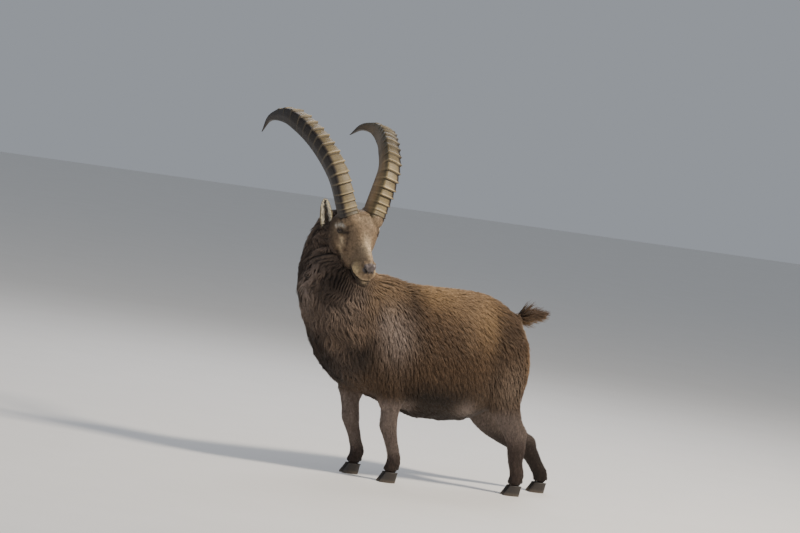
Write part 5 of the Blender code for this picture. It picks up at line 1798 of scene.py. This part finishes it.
    def colours(self, shares: np.ndarray, lip: np.ndarray, groove: np.ndarray, wrap: np.ndarray, chance: np.random.Generator) -> np.ndarray:
        """One colour per vertex: khaki front with pale lips, a dark outer side partly painted shade, a tan inner side
        partly painted light, grooves dark with painted shade, painted light and shade by side and height, and a dark
        tip.
        """
        face, outer, rim = (np.array(linear(code)) for code in (self.face_colour, self.outer_side_and_shade_colour, self.rim_colour))
        dark, tip = np.array(linear(self.groove_shade_colour)), np.array(linear(self.tip_colour))
        angles = np.linspace(0, 2 * math.pi, self.around, endpoint=False)
        f, c = np.sin(angles), np.cos(angles)
        turned = f / (np.abs(f) + np.abs(c))
        front = np.where(c > 0, fade(turned, 0.56, 0.70), fade(turned, 0.20, 0.45))[None, :, None]
        # Painted shade on the outer side and painted light on the inner side, over the horn's own colours.
        outward = fade(c, -0.35, 0.25)[:, None]
        flank = (np.array(linear(self.inner_side_and_light_colour)) * (1 - outward) + outer * outward)[None]
        flank = flank * (1 - fade(turned, -0.2, -0.7) * 0.4)[None, :, None]
        tint = np.broadcast_to(flank * (1 - front) + face * front, (len(shares), self.around, 3)).copy()
        wrap = wrap * (0.35 + 0.65 * front[0, :, 0])
        bright = np.clip(lip[:, None] * (0.15 + 0.85 * wrap)[None], 0, 1)[:, :, None]
        tint = tint + (rim - tint) * bright * 0.85
        # Painted shade in the grooves below the lips.
        sunk = np.clip(groove[:, None] * (0.12 + 0.9 * wrap)[None], 0, 1)[:, :, None]
        tint = tint + (dark - tint) * sunk * 0.92
        seam = np.exp(-((np.abs(np.abs(c) - 0.84) / 0.07) ** 2))
        seam = (seam * (wrap > 0.05) * (wrap < 0.999))[None, :, None] * fade(shares, 0.8, 0.6)[:, None, None]
        tint = tint + (dark - tint) * seam * 0.35
        bands = np.interp(shares, np.linspace(-0.05, 1, 220), chance.normal(1, 0.10, 220))
        # Painted light on the left horn and painted shade on each horn's upper part.
        left = self.side is Side.LEFT
        upper = self.painted_light_by_side[left] * (1 - self.painted_upper_shade[left] * fade(shares, 0.16, 0.34))
        tint *= (bands * upper)[:, None, None]
        end = (fade(shares, 0.74, 0.97) * 0.92)[:, None, None]
        tint = tint * (1 - end) + tip * end
        root = fade(shares, 0.012, -0.012)[:, None, None] * 0.55
        tint = tint * (1 - root) + dark * root
        flat = tint.reshape(-1, 3)
        return np.vstack([flat, flat[:1], flat[-1:]])


@dataclass
class Eye:
    """One eyeball with its two lids."""

    side: Side
    centre: tuple[float, float, float] = (0.042, 0.0730, -0.035)
    radius: float = 0.0170
    half_open: float = 23.0  # degrees of the ball shown above and below the middle
    half_long: float = 68.0

    def axes(self) -> tuple[np.ndarray, np.ndarray, np.ndarray, np.ndarray]:
        """The eye's middle, and the directions along the slit, over it and out of it."""
        local = np.array((self.centre[0], self.side.value * self.centre[1], self.centre[2]))
        look = unit(HEAD.axes() @ np.array((0.45, self.side.value * 0.82, 0.20)))
        along = HEAD.axes() @ np.array((0.80, 0.0, 0.60))
        along = unit(along - look * (along @ look))
        over = np.cross(look, along) * self.side.value
        return HEAD.place(local), along, over, look

    def ball(self, finish: bpy.types.Material) -> bpy.types.Object:
        """The eyeball with its clear bulging cornea."""
        centre, along, over, look = self.axes()
        work = bmesh.new()
        bmesh.ops.create_uvsphere(work, u_segments=48, v_segments=32, radius=1.0)
        mesh = bpy.data.meshes.new(f"eye_{self.side.word}_ball")
        work.to_mesh(mesh)
        work.free()
        if self.side is Side.RIGHT:
            mesh.flip_normals()
        mesh.shade_smooth()
        p = places(mesh)
        layer = mesh.attributes.new("gaze", "FLOAT_VECTOR", "POINT")
        layer.data.foreach_set("vector", p.astype(np.float32).ravel())
        bulge = 1 + 0.02 * fade(p[:, 2], 0.70, 0.90)
        set_places(mesh, centre + (p * (self.radius - 0.0004) * bulge[:, None]) @ np.stack([along, over, look]))
        piece = add_object(f"eye_{self.side.word}_ball", mesh)
        mesh.materials.append(finish)
        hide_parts(f"eye_{self.side.word}")
        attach(piece, "root")
        return piece

    def lids(self, finish: bpy.types.Material) -> bpy.types.Object:
        """Both lids as one rolled rim round an almond opening, sunk into the skin outside."""
        centre, along, over, look = self.axes()
        turns = 72
        u = np.linspace(0, 2 * math.pi, turns, endpoint=False)
        # Reach outward from the rim: share of the way, height over the ball, in metres
        profile = (
            (-0.10, -0.0012),
            (-0.03, 0.0002),
            (0.00, 0.0016),
            (0.10, 0.0026),
            (0.25, 0.0026),
            (0.38, 0.0021),
            (0.55, 0.0030),
            (0.80, 0.0026),
            (1.00, 0.0006),
            (1.15, -0.0030),
        )
        rings = []
        for share, height in profile:
            wide = self.half_long + share * 16.0
            tall = np.where(np.sin(u) > 0, self.half_open * 0.92, self.half_open * 0.80) + share * np.where(np.sin(u) > 0, 34.0, 30.0)
            x = wide * np.cos(u)
            y = tall * np.sign(np.sin(u)) * np.abs(np.sin(u)) ** (1.25 - 0.25 * max(0.0, min(share, 1.0)))
            angle = np.radians(np.sqrt(x**2 + y**2))
            turn = np.arctan2(y, x)
            lid = np.stack([np.sin(angle) * np.cos(turn), np.sin(angle) * np.sin(turn), np.cos(angle)], 1)
            thick = height + 0.0006 * (np.sin(u) > 0) * (0.0 < share < 0.3)
            rings.append(centre + (lid * (self.radius + thick)[:, None] if np.ndim(thick) else lid * (self.radius + height)) @ np.stack([along, over, look]))
        rings = np.array(rings)
        inner = rings[::-1] - look * 0.0
        closed = np.concatenate([rings, centre + (inner[:1] - centre) * 0.90, centre + (rings[:1] - centre) * 0.94])
        mesh = self.band(f"eye_{self.side.word}_lids", closed)
        # The dark lid margin, with painted shade on the inner roll against the ball and in the crease behind the rim.
        lid_margin_and_shade = np.concatenate([np.repeat([0.10, 0.10, 0.16, 0.55, 0.9, 0.6, 1.0, 1.0, 1.0, 1.0], turns), np.full(2 * turns, 0.1)])
        base = Markings().at(places(mesh))
        paint(mesh, "tint", base * lid_margin_and_shade[:, None])
        wet = mesh.attributes.new("wet", "FLOAT", "POINT")
        wet.data.foreach_set("value", np.where(lid_margin_and_shade < 0.3, 1.0, 0.0).astype(np.float32))
        piece = add_object(f"eye_{self.side.word}_lids", mesh)
        mesh.materials.append(finish)
        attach(piece, "root")
        return piece

    def band(self, name: str, rings: np.ndarray) -> bpy.types.Mesh:
        """A ring-shaped closed band through rings of points, its last ring joined to its first."""
        count, around = rings.shape[:2]
        i, j = np.meshgrid(np.arange(count), np.arange(around), indexing="ij")
        k, m = (j + 1) % around, (i + 1) % count
        quads = np.stack([i * around + j, i * around + k, m * around + k, m * around + j], -1).reshape(-1, 4)
        mesh = array_mesh(name, rings.reshape(-1, 3), quads.ravel(), np.full(len(quads), 4))
        work = bmesh.new()
        work.from_mesh(mesh)
        bmesh.ops.recalc_face_normals(work, faces=work.faces)
        work.to_mesh(mesh)
        work.free()
        return mesh


@dataclass
class Hoof:
    """One half of a cloven hoof, with the dewclaw above it."""

    node: str
    around: int = 28

    def build(self, finish: bpy.types.Material) -> bpy.types.Object:
        """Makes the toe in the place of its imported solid."""
        low, high = (np.array(corner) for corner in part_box(self.node))
        middle, size = (low + high) / 2, high - low
        outer = 1.0 if self.node.endswith("outer") else -1.0
        away = outer * (1.0 if middle[0] > STAND[0] else -1.0)
        angles = np.linspace(0, 2 * math.pi, self.around, endpoint=False)
        along, across = np.cos(angles), np.sin(angles)
        # Height share, size of the outline, how far it leans back
        levels = ((0.0, 0.93, 0.0), (0.02, 0.985, 0.0), (0.12, 1.0, 0.0), (0.35, 0.93, 0.06), (0.62, 0.84, 0.13), (0.88, 0.76, 0.20), (0.95, 0.80, 0.22), (1.0, 0.72, 0.22))
        rings = []
        for share, wide, back in levels:
            px = across * 0.5 * size[0] * (0.55 + 0.45 * wide)
            px = np.where(px * away < 0, px * 0.80, px)
            py = -along * 0.5 * size[1] * wide
            point = 1 - 0.30 * np.clip(along, 0, 1) ** 2
            rings.append(np.stack([middle[0] + px * point, middle[1] + py + back * size[1] * 0.9, np.full(self.around, low[2] + share * size[2])], 1))
        toe = loft("toe", np.array(rings))
        claw = self.dewclaw(middle, away, size)
        mesh = merged(f"{self.node}_horn", [toe, claw])
        p = places(mesh)
        p[:, 1] = np.clip(p[:, 1], low[1], None)
        set_places(mesh, p)
        hoof = add_object(f"{self.node}_horn", mesh)
        mesh.materials.append(finish)
        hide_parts(self.node)
        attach(hoof, "root")
        return hoof

    def dewclaw(self, middle: np.ndarray, away: float, size: np.ndarray) -> bpy.types.Mesh:
        """The small blunt claw behind the fetlock."""
        work = bmesh.new()
        bmesh.ops.create_uvsphere(work, u_segments=16, v_segments=10, radius=1.0)
        made = bpy.data.meshes.new("dewclaw")
        work.to_mesh(made)
        work.free()
        p = places(made)
        p = p * np.array((0.0075, 0.0095, 0.0150))
        p[:, 1] -= 0.35 * p[:, 2]
        spot = middle + np.array((away * -0.002, 0.038, 0.0))
        spot[2] = 0.074
        set_places(made, p + spot)
        return made


@dataclass(frozen=True)
class Studio:
    """A pale floor, soft light and the camera at the photograph's angle."""

    azimuth: float = math.radians(65.0)
    elevation: float = math.radians(3.0)
    roll: float = math.radians(9.0)
    distance: float = 16.0
    target: tuple[float, float, float] = (0.1284, -0.1843, 0.948)
    lens_mm: float = 162.0

    def axes(self) -> tuple[Vector, Vector, Vector]:
        """The picture's right and up, and the way back to the camera."""
        right = Vector((math.cos(self.azimuth), math.sin(self.azimuth), 0.0))
        back = Vector((math.sin(self.azimuth) * math.cos(self.elevation), -math.cos(self.azimuth) * math.cos(self.elevation), math.sin(self.elevation)))
        up = back.cross(right)
        across = right * math.cos(self.roll) + up * math.sin(self.roll)
        rise = up * math.cos(self.roll) - right * math.sin(self.roll)
        return across, rise, back

    def place_camera(self) -> None:
        """Sets up the camera."""
        across, rise, back = self.axes()
        data = bpy.data.cameras.new("camera")
        data.lens = self.lens_mm
        data.sensor_width = 36.0
        data.clip_end = 100.0
        camera = bpy.data.objects.new("camera", data)
        bpy.context.scene.collection.objects.link(camera)
        turn = Matrix((across, rise, back)).transposed().to_4x4()
        camera.matrix_world = Matrix.Translation(Vector(self.target) + back * self.distance) @ turn
        bpy.context.scene.camera = camera

    def add_light(self, name: str, place: Vector, size: float, watts: float, colour: str) -> None:
        """One square area light that looks at the buck."""
        data = bpy.data.lights.new(name, "AREA")
        data.energy = watts
        data.size = size
        data.color = linear(colour)
        lamp = bpy.data.objects.new(name, data)
        bpy.context.scene.collection.objects.link(lamp)
        lamp.location = place
        lamp.rotation_euler = (Vector((0.1, -0.1, 0.7)) - place).to_track_quat("-Z", "Y").to_euler()

    def build(self) -> None:
        """Floor, world, lights and camera."""
        work = bmesh.new()
        bmesh.ops.create_grid(work, x_segments=1, y_segments=1, size=30.0)
        mesh = bpy.data.meshes.new("floor")
        work.to_mesh(mesh)
        work.free()
        floor = add_object("floor", mesh)
        made, tree, shader = new_finish("pale_floor")
        where = add_node(tree, "ShaderNodeTexCoord")
        cloud = add_node(tree, "ShaderNodeTexNoise", {"Vector": where.outputs["Object"], "Scale": 3.0, "Detail": 2.0})
        shade = add_node(
            tree,
            "ShaderNodeMix",
            {"Factor": cloud.outputs[0], 6: (*linear("#e4e2de"), 1.0), 7: (*linear("#e9e7e4"), 1.0)},
            data_type="RGBA",
        )
        tree.links.new(shade.outputs[2], shader.inputs["Base Color"])
        shader.inputs["Roughness"].default_value = 0.85
        mesh.materials.append(made)
        world = bpy.data.worlds.new("sky")
        world.use_nodes = True
        world.node_tree.nodes["Background"].inputs[0].default_value = (*linear("#dfe6f0"), 1.0)
        world.node_tree.nodes["Background"].inputs[1].default_value = 0.42
        bpy.context.scene.world = world
        across, rise, back = self.axes()
        middle = Vector(self.target)
        up = Vector((0, 0, 1))
        self.add_light("sun_side", middle + across * 5.2 + up * 4.8 + back * 2.4, 1.3, 900.0, "#fff3e2")
        self.add_light("fill", middle - across * 3.0 + up * 2.5 + back * 5.0, 4.0, 45.0, "#eaf1ff")
        self.add_light("far_side", middle - back * 4.5 + up * 4.0, 3.5, 130.0, "#f4f6ff")
        self.place_camera()


def main() -> None:
    """Builds the buck from skin to horn tips, then the studio."""
    logging.basicConfig(level=logging.INFO, format="%(name)s %(message)s")
    ears = [Ear(side) for side in Side]
    skin = Skin()
    hide = skin.build([ear.build() for ear in ears])
    log.info("skin: %d faces", len(hide.data.polygons))
    coat = Coat(skin)
    coat.build()
    hair = bpy.data.materials["winter_hair"]
    tassels = Tassels(coat)
    tassels.tail(hair)
    tassels.beard(hair)
    sheath = HornSheath().make("horn_sheath_keratin")
    wet = WetEye().make("wet_eye")
    lid_finish = bpy.data.materials["hide_with_short_hair"]
    for side, ear in zip(Side, ears):
        tassels.ear_hair(ear, hair)
        Horn(side).build(sheath)
        eye = Eye(side)
        eye.ball(wet)
        eye.lids(lid_finish)
        log.info("%s horn, ear and eye", side.word)
    hoof_horn = HoofHorn().make("hoof_horn")
    for node in sorted(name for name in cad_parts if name.startswith("hoof_")):
        Hoof(node).build(hoof_horn)
    log.info("hooves")
    Studio().build()


if __name__ == "__main__":
    main()
